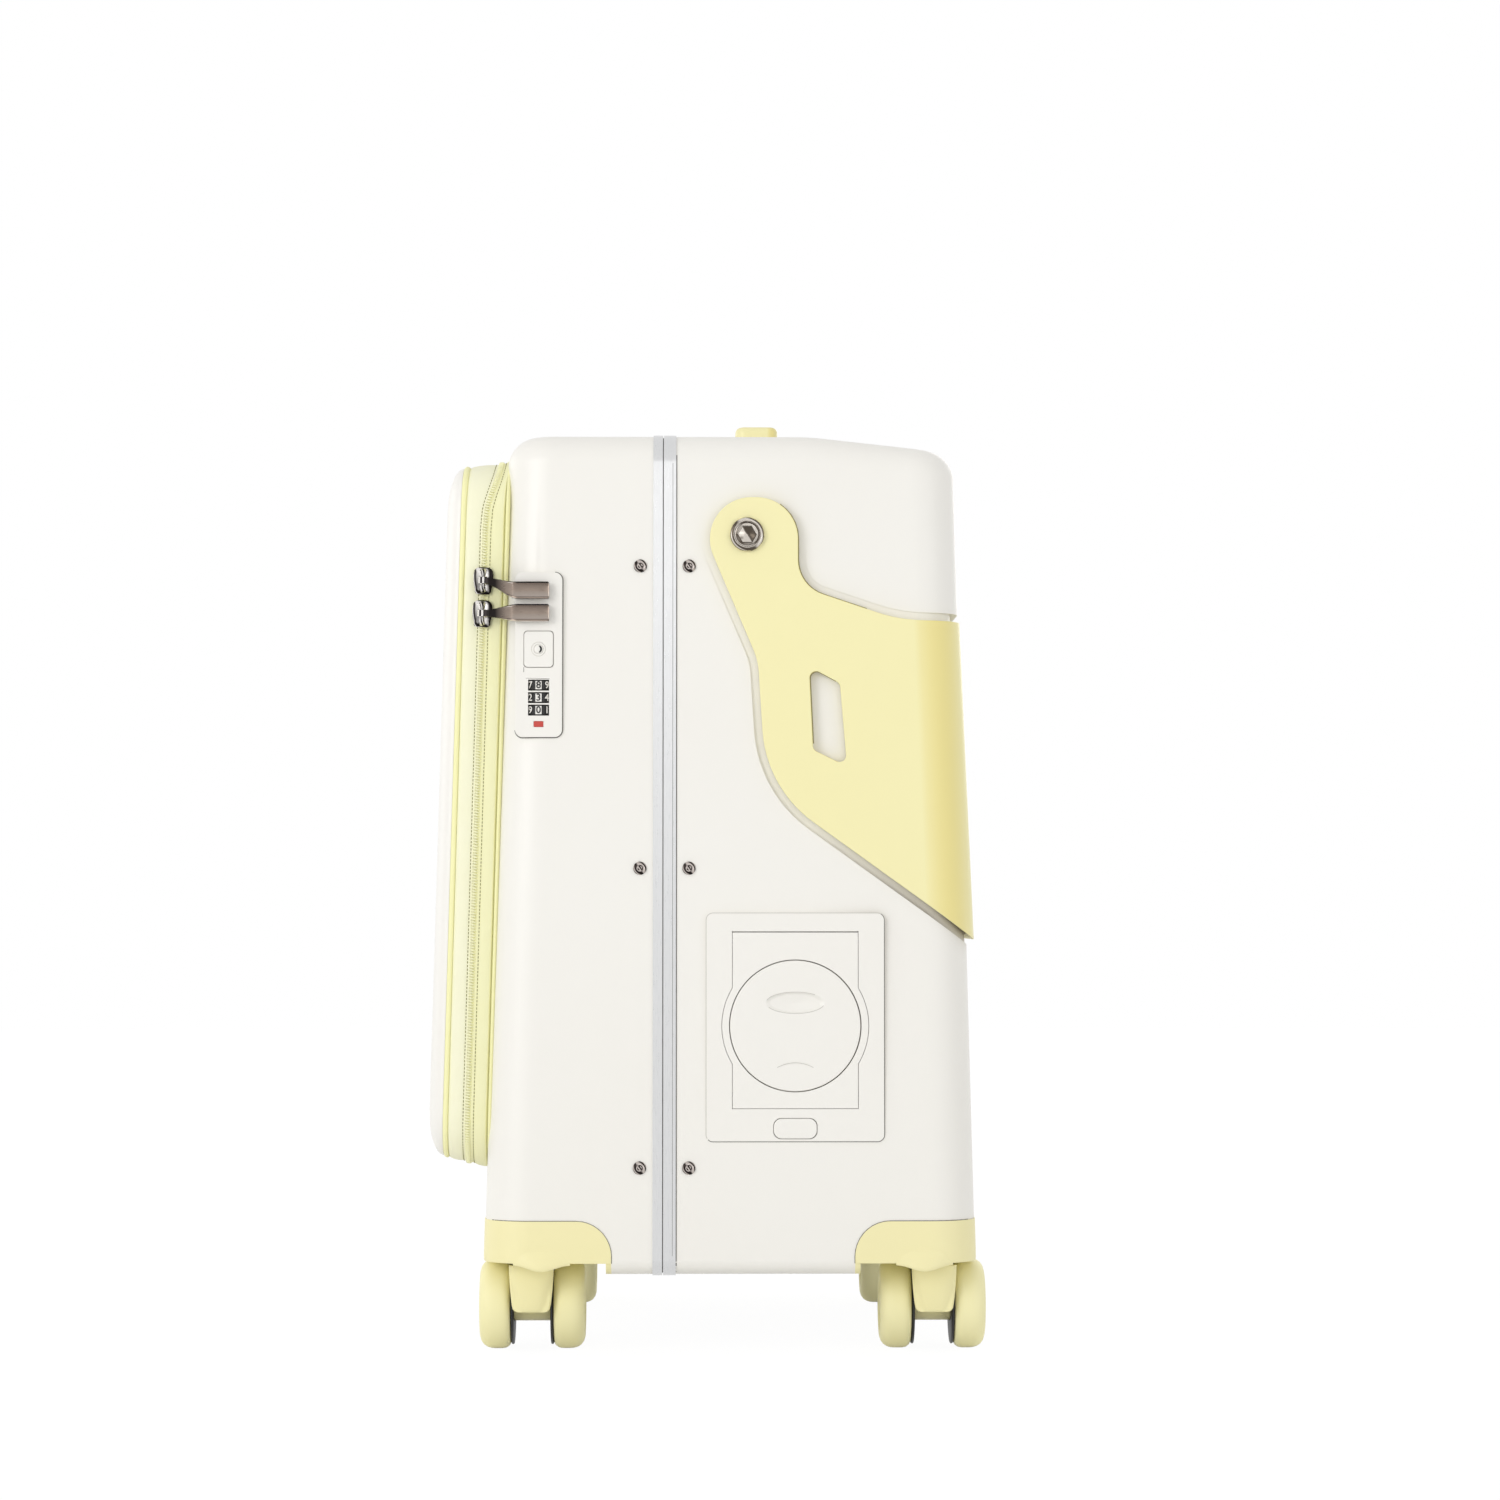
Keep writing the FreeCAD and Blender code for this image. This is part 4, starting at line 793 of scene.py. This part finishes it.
# Web: height, front, back, half width. Nose: height, half width, half width of its bulge, bulge.
WEB_LEVELS = (
    (52, 29, 1, 9.8), (44, 29, -1, 9.8), (34, 29, -6, 9.8), (27, 29, -8.6, 9.8), (24, 24, -7, 9.6),
)
NOSE_LEVELS = (
    (52.6, 13.5, 12.9, 4.6), (48, 13.4, 12.5, 4.4), (43, 13.1, 11.6, 4), (38, 12.7, 10.2, 3.4),
    (33, 12.2, 8.7, 2.7), (29, 11.7, 7.4, 2), (26.6, 11.2, 6.6, 1.5), (25.2, 10.2, 5.8, 0.9),
    (24.6, 8.6, 4.8, 0.3),
)
NOSE_BACK = 28.4
NOSE_FACE = 31.0
NOSE_EDGE = 1.0


def nose_outline(half, bulge_half, bulge):
    """The nose of a fork seen from above, as (across, out)."""
    outline = []
    for share in steps(-1, 1, 25):
        rise = bulge * math.sqrt(max(1 - (share * half / bulge_half) ** 2, 0))
        outline.append((share * half, NOSE_FACE + rise - (NOSE_EDGE if abs(share) == 1 else 0)))
    return outline + [(half, NOSE_BACK), (-half, NOSE_BACK)]


def caster(place):
    """A swivel caster: a fork with collar, hub, web and nose, two wheels, and black discs inside them as painted
    shade.
    """
    swivel = pivot(place + "_swivel_turn")
    axle = pivot(place + "_wheel_roll")
    out = Y if swivel.y > 0 else -Y
    ground = Vector((axle.x, axle.y, 0))
    fork = Shape()
    fork.turned(COLLAR_PROFILE, Vector((swivel.x, swivel.y, 0)), Z, X)
    fork.turned(HUB_PROFILE, axle, X, Y)
    webs = [(height, [(-half, back), (half, back), (half, front), (-half, front)])
            for height, front, back, half in WEB_LEVELS]
    noses = [(height, nose_outline(*form)) for height, *form in NOSE_LEVELS]
    for levels in (webs, noses):
        fork.tube([[ground + (X * across + out * reach + Z * height) * MM for across, reach in outline]
                   for height, outline in levels])
    fork.build(place + "_yoke", "fork_yellow", place + "_swivel", [place + "_fork"], sharp=40)
    wheels = Shape()
    shade_discs = Shape()
    for side in (-1, 1):
        wheels.turned(WHEEL_PROFILE, axle + X * (side * WHEEL_MIDDLE * MM), X * side, Y, 64)
        # A black disc inside each wheel, painted shade.
        shade_discs.turned(SHADE_DISC_PROFILE, axle, X * side, Y, ring=True)
    wheels.build(place + "_treads", "wheel_yellow", place + "_wheelset", [place + "_wheels"], sharp=40)
    shade_discs.build(place + "_wheel_shields", "dial_black", place + "_wheelset", sharp=40)
    guard_skirt(place, swivel, out)


SKIRT_HALF = 17.0
SKIRT_SHIFT = 6.9
SKIRT_TOP = 66.0
SKIRT_FOOT = 54.3
SKIRT_DROP = 3.4
SKIRT_PROUD = (0.1, 2.9)
SKIRT_ROOT = -0.3
SKIRT_BACK = -1.5
SKIRT_BACK_FOOT = 55.2


def skirt_outline(swell):
    """A corner guard's lip cut across, as (proud, height), at a share of its full swell."""
    foot = SKIRT_FOOT - SKIRT_DROP * swell
    proud = SKIRT_PROUD[0] + SKIRT_PROUD[1] * swell
    edge = foot + 0.5
    outline = []
    for share in steps(0, 1, 9):
        rise = 1 - smooth(share)
        outline.append((proud * rise + (1 - rise) * SKIRT_ROOT, edge + (SKIRT_TOP - edge) * share))
    return outline + [(SKIRT_BACK, SKIRT_TOP), (SKIRT_BACK, SKIRT_BACK_FOOT), (proud - 1.5, foot + 0.2),
                      (proud - 1.1, foot), (proud - 0.4, foot)]


def guard_skirt(place, swivel, out):
    """The lip that swells from a corner guard in front of the swivel."""
    tree = surface_tree(place + "_corner_guard")
    along = 1 if place.startswith("back") else -1
    middle = swivel.x - along * SKIRT_SHIFT * MM
    sections = []
    for reach in steps(-SKIRT_HALF, SKIRT_HALF, 25):
        x = middle + reach * MM
        face = abs(on_surface(tree, x, SKIRT_TOP * MM, out.y).y)
        swell = math.cos(math.pi * reach / SKIRT_HALF / 2) ** 2
        sections.append([Vector((x, out.y * (face + depth * MM), height * MM))
                         for depth, height in skirt_outline(swell)])
    Shape().tube(sections).build(place + "_guard_lip", "guard_yellow", "case", sharp=50)


# Pivot bolts and rivets. Bolts and profiles are in millimetres.

BOLT_HEAD = (
    (9.9, 0), (10.2, 0.3), (10.2, 1.5), (9.9, 2.3), (9.2, 2.85), (8.4, 3), (7.7, 2.95), (7.3, 2.5),
    (6.9, 2.4), (6.6, 2.75),
)
BOLT_SOCKET = ((6, 2.8), (5.5, 2.4), (5.3, 1.4))
BOLT_PIT = ((3.8, 1.1), (2.2, 0.5), (0.8, 0.2))
BOLT_TALL = 3
BOLT_SHANK = 5
BOLT_IN_NUT = 6


def hexagon(radius):
    """The reach of a hexagon at any angle."""
    return lambda angle: radius * math.cos(math.pi / 6) / math.cos(angle % (math.pi / 3) - math.pi / 6)


def bolt_heads():
    """Cap bolts with a stepped rim and a hexagon socket."""
    place = pivot("rail_swing")
    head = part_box("pivot_bolts")[1].y / MM - BOLT_TALL
    socket = tuple((hexagon(radius), height) for radius, height in BOLT_SOCKET)
    profile = [(BOLT_SHANK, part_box("pivot_nuts")[1].y / MM - BOLT_IN_NUT), (BOLT_SHANK, head)]
    profile += [(radius, head + height) for radius, height in BOLT_HEAD + socket + BOLT_PIT]
    bolts = Shape()
    for side in (-1, 1):
        bolts.turned(profile, Vector((place.x, 0, place.z)), Y * side, X, 72)
    bolts.build("cap_bolts", "bolt_steel", "case", ["pivot_bolts"], sharp=30)


# A rivet's head is a low dome with a small set mark in its middle.
RIVET_PROFILE = (
    (1.8, -4.7), (1.8, 0), (3.9, 0), (4, 0.35), (3.85, 0.8), (3.3, 1.25), (2.5, 1.52), (1.7, 1.6),
    (1.3, 1.45), (1, 1.15), (0.5, 1),
)
RIVET_RADIUS = 0.004
RIVET_TALL = 0.0016
SIDE_RIVETS = (0.4728, 0.291, 0.1122)
TOP_RIVETS = (-0.120, 0, 0.120)
# The frame's side faces stand this far out at this height, and lean out below it.
FRAME_HALF = 0.180
FRAME_HALF_HEIGHT = 0.4954
FRAME_LEAN = 0.015


def rivet_heads():
    low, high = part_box("frame_rivets")
    rivets = Shape()
    for x in (low.x + RIVET_RADIUS, high.x - RIVET_RADIUS):
        for z in SIDE_RIVETS:
            face = FRAME_HALF + FRAME_LEAN * (FRAME_HALF_HEIGHT - z)
            for side in (-1, 1):
                rivets.turned(RIVET_PROFILE, Vector((x, side * face, z)), Y * side, X, 28)
        for y in TOP_RIVETS:
            rivets.turned(RIVET_PROFILE, Vector((x, y, high.z - RIVET_TALL)), Z, X, 28)
    rivets.build("rivet_heads", "rivet_steel", "case", ["frame_rivets"], sharp=60)


# Combination dials. Levels and flats are shares of a dial's half height and radius, edges are in degrees.

FIGURE_SIZE = 0.0060
FIGURE_WEIGHT = 0.00008
FIGURE_THICK = 0.00005
FIGURE_LIFT = 1.006
DIAL_CELLS = 10
CELL_TURN = 360 / DIAL_CELLS
CELL_EDGES = ((-15.5, 0.975), (-13.5, 1), (13.5, 1), (15.5, 0.975))
DIAL_LEVELS = ((-1, 0.90), (-0.86, 0.985), (0.86, 0.985), (1, 0.90))
FLAT_LEVELS = (0.985, 1.002)
FLAT_HALF = 12.5
FLAT_TALL = 0.82
FRONT_FIGURES = {1: 8, 2: 3, 3: 0}


def facing(turn):
    """The way out from a dial at a turn in degrees from its front."""
    return Vector((*unit(turn - 90), 0))


def dial(number):
    """A dial with ten flats, each with its figure, and a pale flat in front."""
    body = "dial_%d" % number
    low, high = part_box("lock_" + body)
    middle = pivot(body + "_turn")
    radius = (high.x - low.x) / 2
    half = (high.z - low.z) / 2
    barrel = [[middle + facing(CELL_TURN * cell + turn) * (radius * grow * reach) + Z * (half * level)
               for cell in range(DIAL_CELLS) for turn, reach in CELL_EDGES] for level, grow in DIAL_LEVELS]
    Shape().tube(barrel).build(body + "_barrel", "dial_black", body, ["lock_" + body], sharp=30)
    top = Z * (half * FLAT_TALL)
    flat = []
    for grow in FLAT_LEVELS:
        left, right = (middle + facing(turn) * (radius * grow) for turn in (-FLAT_HALF, FLAT_HALF))
        flat.append([left - top, right - top, right + top, left + top])
    Shape().tube(flat).build(body + "_flat", "shell_white", body)
    front = Shape()
    others = Shape()
    for cell in range(DIAL_CELLS):
        out = facing(CELL_TURN * cell)
        figure = str((cell + FRONT_FIGURES[number]) % DIAL_CELLS)
        add_figure(others if cell else front, figure, middle + out * (radius * FIGURE_LIFT), out)
    front.build(body + "_front_figure", "dial_black", body)
    others.build(body + "_figures", "shell_white", body)


def add_figure(shape, text, place, out):
    """A figure as a thin plate, standing on a flat that faces out."""
    curve = adjust(bpy.data.curves.new("figure", "FONT"), body=text, size=FIGURE_SIZE, align_x="CENTER",
                   align_y="CENTER", resolution_u=3, offset=FIGURE_WEIGHT, extrude=FIGURE_THICK)
    writer = add_object("figure", curve)
    bpy.context.view_layer.update()
    mesh = bpy.data.meshes.new_from_object(writer)
    right = Z.cross(out)
    corners = shape.row(place + right * vertex.co.x + Z * vertex.co.y + out * vertex.co.z
                        for vertex in mesh.vertices)
    shape.faces += [tuple(corners[i] for i in face.vertices) for face in mesh.polygons]
    bpy.data.objects.remove(writer)
    bpy.data.curves.remove(curve)
    bpy.data.meshes.remove(mesh)


# Key and indicator. The key's values are in millimetres.

KEY_BEVEL = 0.3
KEY_RECESS = ((3.1, 0), (2.9, -0.2), (2.9, -0.8))
KEY_CORE = ((2.8, -1.2), (2.8, -0.4), (2.5, 0), (1.8, 0.25), (0.8, 0.3))
# The dark crescent of the key slot, darkened as painted shadow, lies between two arcs, and stands between these
# levels.
KEYWAY_HALF = (2.1, 2.3)
KEYWAY_TURNS = (68.755, 57.296)
KEYWAY_SHIFT = -1.2
KEYWAY_LEVELS = (-0.1, 0.38)


def key_face():
    """A white bush in the button, its core and a dark crescent: the key slot, with painted shadow."""
    low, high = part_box("key_core")
    middle = pivot("key_turn")
    face = Vector((middle.x, low.y, middle.z))
    radius = (high.x - low.x) / 2 / MM
    rim = ((radius, (low.y - high.y) / MM), (radius, -KEY_BEVEL), (radius - KEY_BEVEL, 0))
    bush = Shape().turned(rim + KEY_RECESS, face, -Y, X, 40)
    bush.build("key_bush", "shell_white", "key_barrel", ["key_core"])
    core = Shape().turned(KEY_CORE, face, -Y, X, 32)
    core.build("key_barrel_end", "shell_white", "key_barrel", sharp=50)
    outer, inner = KEYWAY_TURNS
    outline = arc(0, 0, *KEYWAY_HALF, -outer, outer, 13)
    outline += arc(KEYWAY_SHIFT, 0, *KEYWAY_HALF, inner, -inner, 11)
    keyway_shade = [[face + (X * x + Z * z - Y * lift) * MM for x, z in outline] for lift in KEYWAY_LEVELS]
    Shape().tube(keyway_shade).build("keyway_shade", "dial_black", "key_barrel")


LENS_CORNER = 0.0010
LENS_BEVEL = ((0.0004, 0), (0.00012, -0.00015), (0, -0.0005))


def indicator():
    """A small red lens with round corners."""
    low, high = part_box("lock_indicator")
    lens = [[Vector((x, low.y + depth, z)) for x, z in rounded_box(low, high, LENS_CORNER, grow)]
            for depth, grow in ((high.y - low.y, 0),) + LENS_BEVEL]
    Shape().tube(lens).build("indicator_lens", "indicator_red", "case", ["lock_indicator"], sharp=60)


# Fine joints round the fitted pieces, and thin strips of painted shadow.

JOINT_STEP = 0.004
STRIP_SUNK = 0.0004
ARC_STEPS = 9


def rounded_box(low, high, radius, grow):
    """The outline of a box seen from the side, from its top left corner round by the right."""
    x0, x1 = low.x + radius, high.x - radius
    z0, z1 = low.z + radius, high.z - radius
    reach = radius + grow
    return [point for x, z, first in ((x0, z1, 180), (x1, z1, 90), (x1, z0, 0), (x0, z0, -90))
            for point in arc(x, z, reach, reach, first, first - 90, ARC_STEPS)]


def joint_line(name, node, outline, width, proud, side=-1, finish="dark_joint"):
    """A thin joint that lies on a surface of the case along an outline."""
    tree = surface_tree(node)
    places = []
    for (x0, z0), (x1, z1) in zip(outline, outline[1:]):
        count = max(2, int(math.hypot(x1 - x0, z1 - z0) / JOINT_STEP) + 1)
        places += [(x0 + (x1 - x0) * share, z0 + (z1 - z0) * share) for share in steps(0, 1, count)[:-1]]
    points = [on_surface(tree, x, z, side) for x, z in places + [outline[-1]]]
    strip(name, [point for point in points if point], width, proud, side, "case", "seal_rubber", finish)


def strip(name, points, width, proud, side, body, slot, finish):
    """A thin strip along points on one side of the case."""
    deep = Y * (-side * STRIP_SUNK)
    out = Y * (side * proud)
    sections = []
    for point, way in zip(points, directions(points)):
        across = way.cross(Y).normalized() * (width / 2)
        left, right = point - across, point + across
        sections.append([left + deep, right + deep, right + out, left + out])
    Shape().tube(sections).build(name, slot, body, finish=finish)


# Edges of the seat rail as (reach behind the seam, height, rounding of the corner) in millimetres.
RAIL_EDGE = ((56, 514, 0), (81, 514, 25), (81, 460.5, 22), (122, 446.8, 0))
WINDOW_EDGE = ((89.8, 366, 0), (87.6, 412, 4), (103.5, 403.5, 0))
# How a painted shadow strip lies to its edge, back and up, and how deep below the rail's face, in millimetres.
SHOULDER_SHIFT = (0.3, 0.1, 2.5)
WINDOW_SHIFT = (0.35, -0.2, 1)
SHOULDER_FIRST = 3
CUP_REACH = 0.0792
SIDES = ((-1, "near"), (1, "far"))


def rounded_path(corners):
    """Points along a line through corners, each rounded by its own radius."""
    path = []
    for before, here, after in zip(corners, corners[1:], corners[2:]):
        *spot, radius = here
        spot = Vector(spot)
        back, on = ((Vector(end[:2]) - spot).normalized() for end in (before, after))
        half_turn = back.angle(on) / 2
        reach = radius / math.tan(half_turn)
        centre = spot + (back + on).normalized() * (radius / math.sin(half_turn))
        first, last = (spot + way * reach - centre for way in (back, on))
        path += [centre + first.slerp(last, share) * radius for share in steps(0, 1, ARC_STEPS)]
    return path


def painted_rail_shadows():
    """Thin dark strips of painted shadow on the seat rail: behind its shoulder and inside its windows."""
    low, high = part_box("cup_ring")
    seam = (low.x + high.x) / 2 - CUP_REACH
    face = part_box("rail_band")[1].y
    shoulder = rounded_path(RAIL_EDGE)[SHOULDER_FIRST:] + [RAIL_EDGE[-1][:2]]
    window = [WINDOW_EDGE[0][:2]] + rounded_path(WINDOW_EDGE) + [WINDOW_EDGE[-1][:2]]
    for side, name in SIDES:
        for joint, outline, (back, up, depth) in (("rail_joint_", shoulder, SHOULDER_SHIFT),
                                                  ("painted_window_shadow_", window, WINDOW_SHIFT)):
            points = [Vector((seam + (x + back) * MM, side * (face - depth * MM), (z + up) * MM))
                      for x, z in outline]
            # Each strip is painted shadow.
            strip(joint + name, points, 0.0008, 0.0002, side, "rail", "rail_yellow", "rail_joint")


GUARD_ROUND = 0.021
GUARD_SPARE = 0.0002
GUARD_FOOT = 0.007
GUARD_END = 0.002


def guard_outline(low, high, along):
    """A corner guard's edge on the side of the case, from its foot to the case's end."""
    inner, end = (low.x, high.x)[::along]
    inner -= along * GUARD_SPARE
    end -= along * GUARD_END
    reach = GUARD_ROUND + GUARD_SPARE
    bend = arc(inner + along * reach, high.z - GUARD_ROUND, along * reach, reach, 180, 90, 10)
    return [(inner, low.z + GUARD_FOOT)] + bend + [(end, high.z + GUARD_SPARE)]


LOCK_CORNER = 0.0045
BEZEL_CORNER = 0.004
FAINT_FIRST = 32
FAINT_LAST = 12
BUTTON_SPARE = 0.0002
BUTTON_TAIL = 0.003
FRAME_SPARE = 0.0003
FRAME_JOINT_ENDS = (0.540, 0.0505)
GROOVE_REACH = 0.0023
GROOVE_ENDS = (0.535, 0.060)


def joint_lines():
    """The fine dark joints round the lock, the cup holder, the frame and the corner guards; round the lock plate
    and on the bezel's right and bottom they also stand for painted shadow.
    """
    # Round the lock plate a dark joint that is also painted shadow.
    plate = rounded_box(*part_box("lock_plate"), LOCK_CORNER, grow=0.0003)
    joint_line("lock_joint_and_shadow", "front_shell", plate[ARC_STEPS:], width=0.0006, proud=0.0004)
    low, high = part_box("lock_button")
    left = low.x - BUTTON_SPARE
    tail = [(left, low.z), (left, low.z - BUTTON_TAIL)]
    joint_line("button_joint", "lock_plate", tail, width=0.0003, proud=0.0001)
    above_dials = [(low.x + 0.001, low.z - 0.0066), (high.x - 0.002, low.z - 0.0070)]
    joint_line("dial_joint", "lock_plate", above_dials, width=0.0002, proud=0.00005)
    # Round the cup bezel: a dark joint on its right and bottom, painted shadow, and a faint one on its top and
    # left.
    bezel = rounded_box(*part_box("cup_bezel"), BEZEL_CORNER, grow=0.0002)
    top = bezel[FAINT_FIRST:] + bezel[:FAINT_LAST + 1]
    joint_line("bezel_joint", "rear_shell", bezel[FAINT_LAST:FAINT_FIRST], width=0.0006, proud=0.0001)
    joint_line("bezel_joint_top", "rear_shell", top, width=0.0005, proud=0.0001, finish="faint_joint")
    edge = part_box("rear_shell")[0].x + FRAME_SPARE
    groove = [(edge - GROOVE_REACH, z) for z in GROOVE_ENDS]
    seam = [(edge, z) for z in FRAME_JOINT_ENDS]
    for side, name in SIDES:
        joint_line("frame_groove_" + name, "rear_frame", groove, width=0.00025, proud=0.00003, side=side)
        joint_line("frame_joint_" + name, "rear_shell", seam, width=0.0005, proud=0.0002, side=side)
        for end, node, along in (("front", "front_shell", -1), ("back", "rear_shell", 1)):
            place = "%s_%s_" % (end, name)
            guard = guard_outline(*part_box(place + "corner_guard"), along)
            joint_line(place + "guard_joint", node, guard, width=0.0004, proud=0.0003, side=side)


# Cup holder.

DISC_RADIUS = 0.0391
DISC_SPARE = 0.0007
DISC_STEP = 0.0006
DISC_RINGS = 64
DISC_FLAT = 0.0386
DISC_RIM = (
    (DISC_FLAT, 0), (0.0389, 0.0002), (DISC_RADIUS, 0.0007), (DISC_RADIUS, 0.0034), (DISC_FLAT, 0.004),
)
SCOOP_LIFT = 0.0138
SCOOP_HALF = (0.0175, 0.0064)
SCOOP_DEPTH = 0.0026
SCOOP_EDGE = 0.14
SCOOP_WALL = 0.45
LIP_DROP = 0.0220
LIP_HALF = 0.0108
LIP_BEND = 24.0
LIP_RUN = 0.005
LIP_DEPTH = 0.0003
ARM_HALF = 0.011
ARM_RISE = 0.016
ARM_THIN = 0.0008
ARM_FRONTS = (0.0048, 0.0048, 0.0039, 0.0039)
ARM_STEPS = (0.0016, 0.0017)
BARREL_PROFILE = ((1.8, -11), (2.2, -10.6), (2.2, 10.6), (1.8, 11))
SLOT_GAP = 0.0008
SLOT_HALF = 0.0372
SLOT_SECTION = ((0.0001, -0.00025), (0.003, -0.00025), (0.003, 0.0003), (0.0001, 0.0003))


def lip_height(x):
    return -LIP_DROP - LIP_BEND * x * x


def disc_depth(x, z):
    """How deep the thumb scoop and the moulded lip below it sink into the disc."""
    scoop = 1 - math.hypot(x / SCOOP_HALF[0], (z - SCOOP_LIFT) / SCOOP_HALF[1])
    depth = 0
    if scoop > 0:
        depth = SCOOP_DEPTH * (SCOOP_WALL * min(1, scoop / SCOOP_EDGE) + (1 - SCOOP_WALL) * scoop)
    below = lip_height(x) - z
    if abs(x) < LIP_HALF and 0 < below < LIP_RUN:
        fade = math.cos(x / LIP_HALF * math.pi / 2) ** 0.5
        depth = max(depth, LIP_DEPTH * fade * (1 - below / LIP_RUN))
    return depth


def disc_sections():
    """The disc's face ring by ring, then its rim, as places from its middle."""
    sections = []
    for reach, drop in tuple((DISC_STEP * (i + 1), 0) for i in range(DISC_RINGS)) + DISC_RIM:
        ring = [around(X, Z, angle) * reach for angle in circle(160)]
        sections.append([place + Y * (disc_depth(place.x, place.z) if reach < DISC_FLAT else drop)
                         for place in ring])
    return sections


def cup_disc():
    """The disc that folds down as the cup's floor, with its arm and barrel behind, and thin lines of painted shade
    along its scoop and lip.
    """
    low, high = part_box("cup_base")
    middle = Vector(((low.x + high.x) / 2, low.y, high.z - DISC_RADIUS + DISC_SPARE))
    hinge = pivot("cup_base_fold")
    disc = Shape()
    disc.tube([[middle + place for place in section] for section in disc_sections()])
    foot = middle.z - DISC_RADIUS
    heights = (hinge.z, foot + ARM_STEPS[0], foot + ARM_STEPS[1], hinge.z + ARM_RISE)
    backs = (high.y, high.y, high.y, high.y - ARM_THIN)
    disc.tube([[Vector((middle.x + a * ARM_HALF, y, height))
                for a, y in ((-1, low.y + front), (1, low.y + front), (1, back), (-1, back))]
               for height, front, back in zip(heights, ARM_FRONTS, backs)])
    disc.turned(BARREL_PROFILE, hinge, X, Y, 24)
    disc.build("cup_disc", "shell_white", "cup_base_plate", ["cup_base"], sharp=40)
    # Thin grey lines along the edges of the scoop and the lip: painted shade of those edges.
    lines = {
        "scoop_edge_top": arc(0, SCOOP_LIFT, *SCOOP_HALF, 168, 48, 25),
        "scoop_edge_low": arc(0, SCOOP_LIFT, *SCOOP_HALF, 205, 345, 25),
        "lip_edge": [(x, lip_height(x)) for x in steps(-LIP_HALF, LIP_HALF, 15)],
    }
    for name, outline in lines.items():
        points = [middle + Vector((x, 0, z)) for x, z in outline]
        strip(name, points, 0.0004, 0.00003, -1, "cup_base_plate", "shell_white", "faint_joint")


def slot_lip():
    """A lip of the bezel that narrows the slot above the cup ring."""
    low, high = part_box("cup_ring")
    middle = (low.x + high.x) / 2
    lip = [[Vector((middle + reach, low.y + y, high.z + SLOT_GAP + z)) for y, z in SLOT_SECTION]
           for reach in (-SLOT_HALF, SLOT_HALF)]
    Shape().tube(lip).build("cup_slot_lip", "shell_white", "case")


# How far the edges of the solids that show are rounded.

EDGE_ROUND = {
    0.0004: ("cup_ring", "trolley_grip"),
    0.0005: ("front_frame", "rear_frame"),
    0.0006: ("front_shell", "cup_bezel", "lock_plate", "lock_button", "trolley_button"),
    0.0008: ("rear_shell", "cup_button", "carry_tray", "trolley_housing"),
    0.0010: ("carry_handle",),
    0.0012: ("rail_band",),
}


def soften(solid, width):
    """Join a solid's faces where they are flat, and round its sharp edges."""
    add = solid.modifiers.new
    adjust(add("weld", "WELD"), merge_threshold=1e-6)
    adjust(add("flat", "DECIMATE"), decimate_type="DISSOLVE", angle_limit=math.radians(0.5))
    adjust(add("bevel", "BEVEL"), width=width, segments=3, limit_method="ANGLE", angle_limit=math.radians(35))
    for face in solid.data.polygons:
        face.use_smooth = True
    adjust(add("even", "WEIGHTED_NORMAL"), keep_sharp=True)


def finish_nodes():
    """Give every solid its finish, and round the edges of those that show."""
    for node, solid in nodes.items():
        solid.data.materials.clear()
        solid.data.materials.append(materials[slot_of_node[node]])
    for width, shown in EDGE_ROUND.items():
        for node in shown:
            soften(nodes[node], width)


# Studio.

FLOOR_HALF = 6.0
FLOOR_GLOW = 0.92
FLOOR_GREY = (0.9, 0.9, 0.9)
FLOOR_WHITE = 1.04
WORLD_LIGHT = 0.68
LAMP_AIM = Vector((0, 0, 0.28))
# Place, size and power of each lamp.
LAMPS = {
    "key": ((-2.1, -2.2, 1.1), 1.6, 25),
    "fill": ((1.9, -1.6, 0.9), 1.4, 4),
    "head": ((-0.1, -3.7, 1.02), 0.5, 1.6),
    "low": ((1.3, -2.3, 0.16), 0.9, 2.5),
    "back": ((1.0, 2.5, 1.1), 1.4, 9),
    "front": ((-2.2, 1.4, 0.9), 1.4, 5),
}


def make_world():
    """White to the eye and to mirrors, and a soft even light otherwise."""
    world = bpy.data.worlds.new("studio")
    world.use_nodes = True
    bpy.context.scene.world = world
    sky = Nodes(world.node_tree)
    strength = sky.seen() * (1 - WORLD_LIGHT) + WORLD_LIGHT
    glow = sky.node("Background", {"Color": (1, 1, 1), "Strength": strength})
    sky.node("OutputWorld", {0: glow})


def make_floor():
    """White paper, which is seen as white and keeps a faint shadow."""
    mesh = bpy.data.meshes.new("floor")
    mesh.from_pydata([(x * FLOOR_HALF, y * FLOOR_HALF, 0) for x, y in SQUARE], [], [(0, 1, 2, 3)])
    add_object("floor", mesh)
    material = bpy.data.materials.new("paper")
    material.use_nodes = True
    mesh.materials.append(material)
    paper = Nodes(material.node_tree)
    matt = paper.node("BsdfDiffuse", {"Color": FLOOR_GREY})
    glow = paper.node("Emission", {"Strength": FLOOR_WHITE})
    shown = paper.node("MixShader", {0: paper.seen() * FLOOR_GLOW, 1: matt, 2: glow})
    paper.node("OutputMaterial", {0: shown})


def make_lamps():
    for name, (place, size, power) in LAMPS.items():
        data = adjust(bpy.data.lights.new(name, "AREA"), shape="DISK", size=size, energy=power)
        aim = (LAMP_AIM - Vector(place)).to_track_quat("-Z", "Y").to_euler()
        adjust(add_object(name, data), location=place, rotation_euler=aim)


bpy.context.scene.view_settings.view_transform = "Standard"
make_camera()
make_world()
make_floor()
make_lamps()
materials = make_materials()
finish_nodes()
make_lid()
for side in ("upper", "lower"):
    zip_slider(side)
    zip_pull(side)
for place in CASTERS:
    caster(place)
bolt_heads()
rivet_heads()
for number in FRONT_FIGURES:
    dial(number)
cup_disc()
slot_lip()
key_face()
indicator()
joint_lines()
painted_rail_shadows()
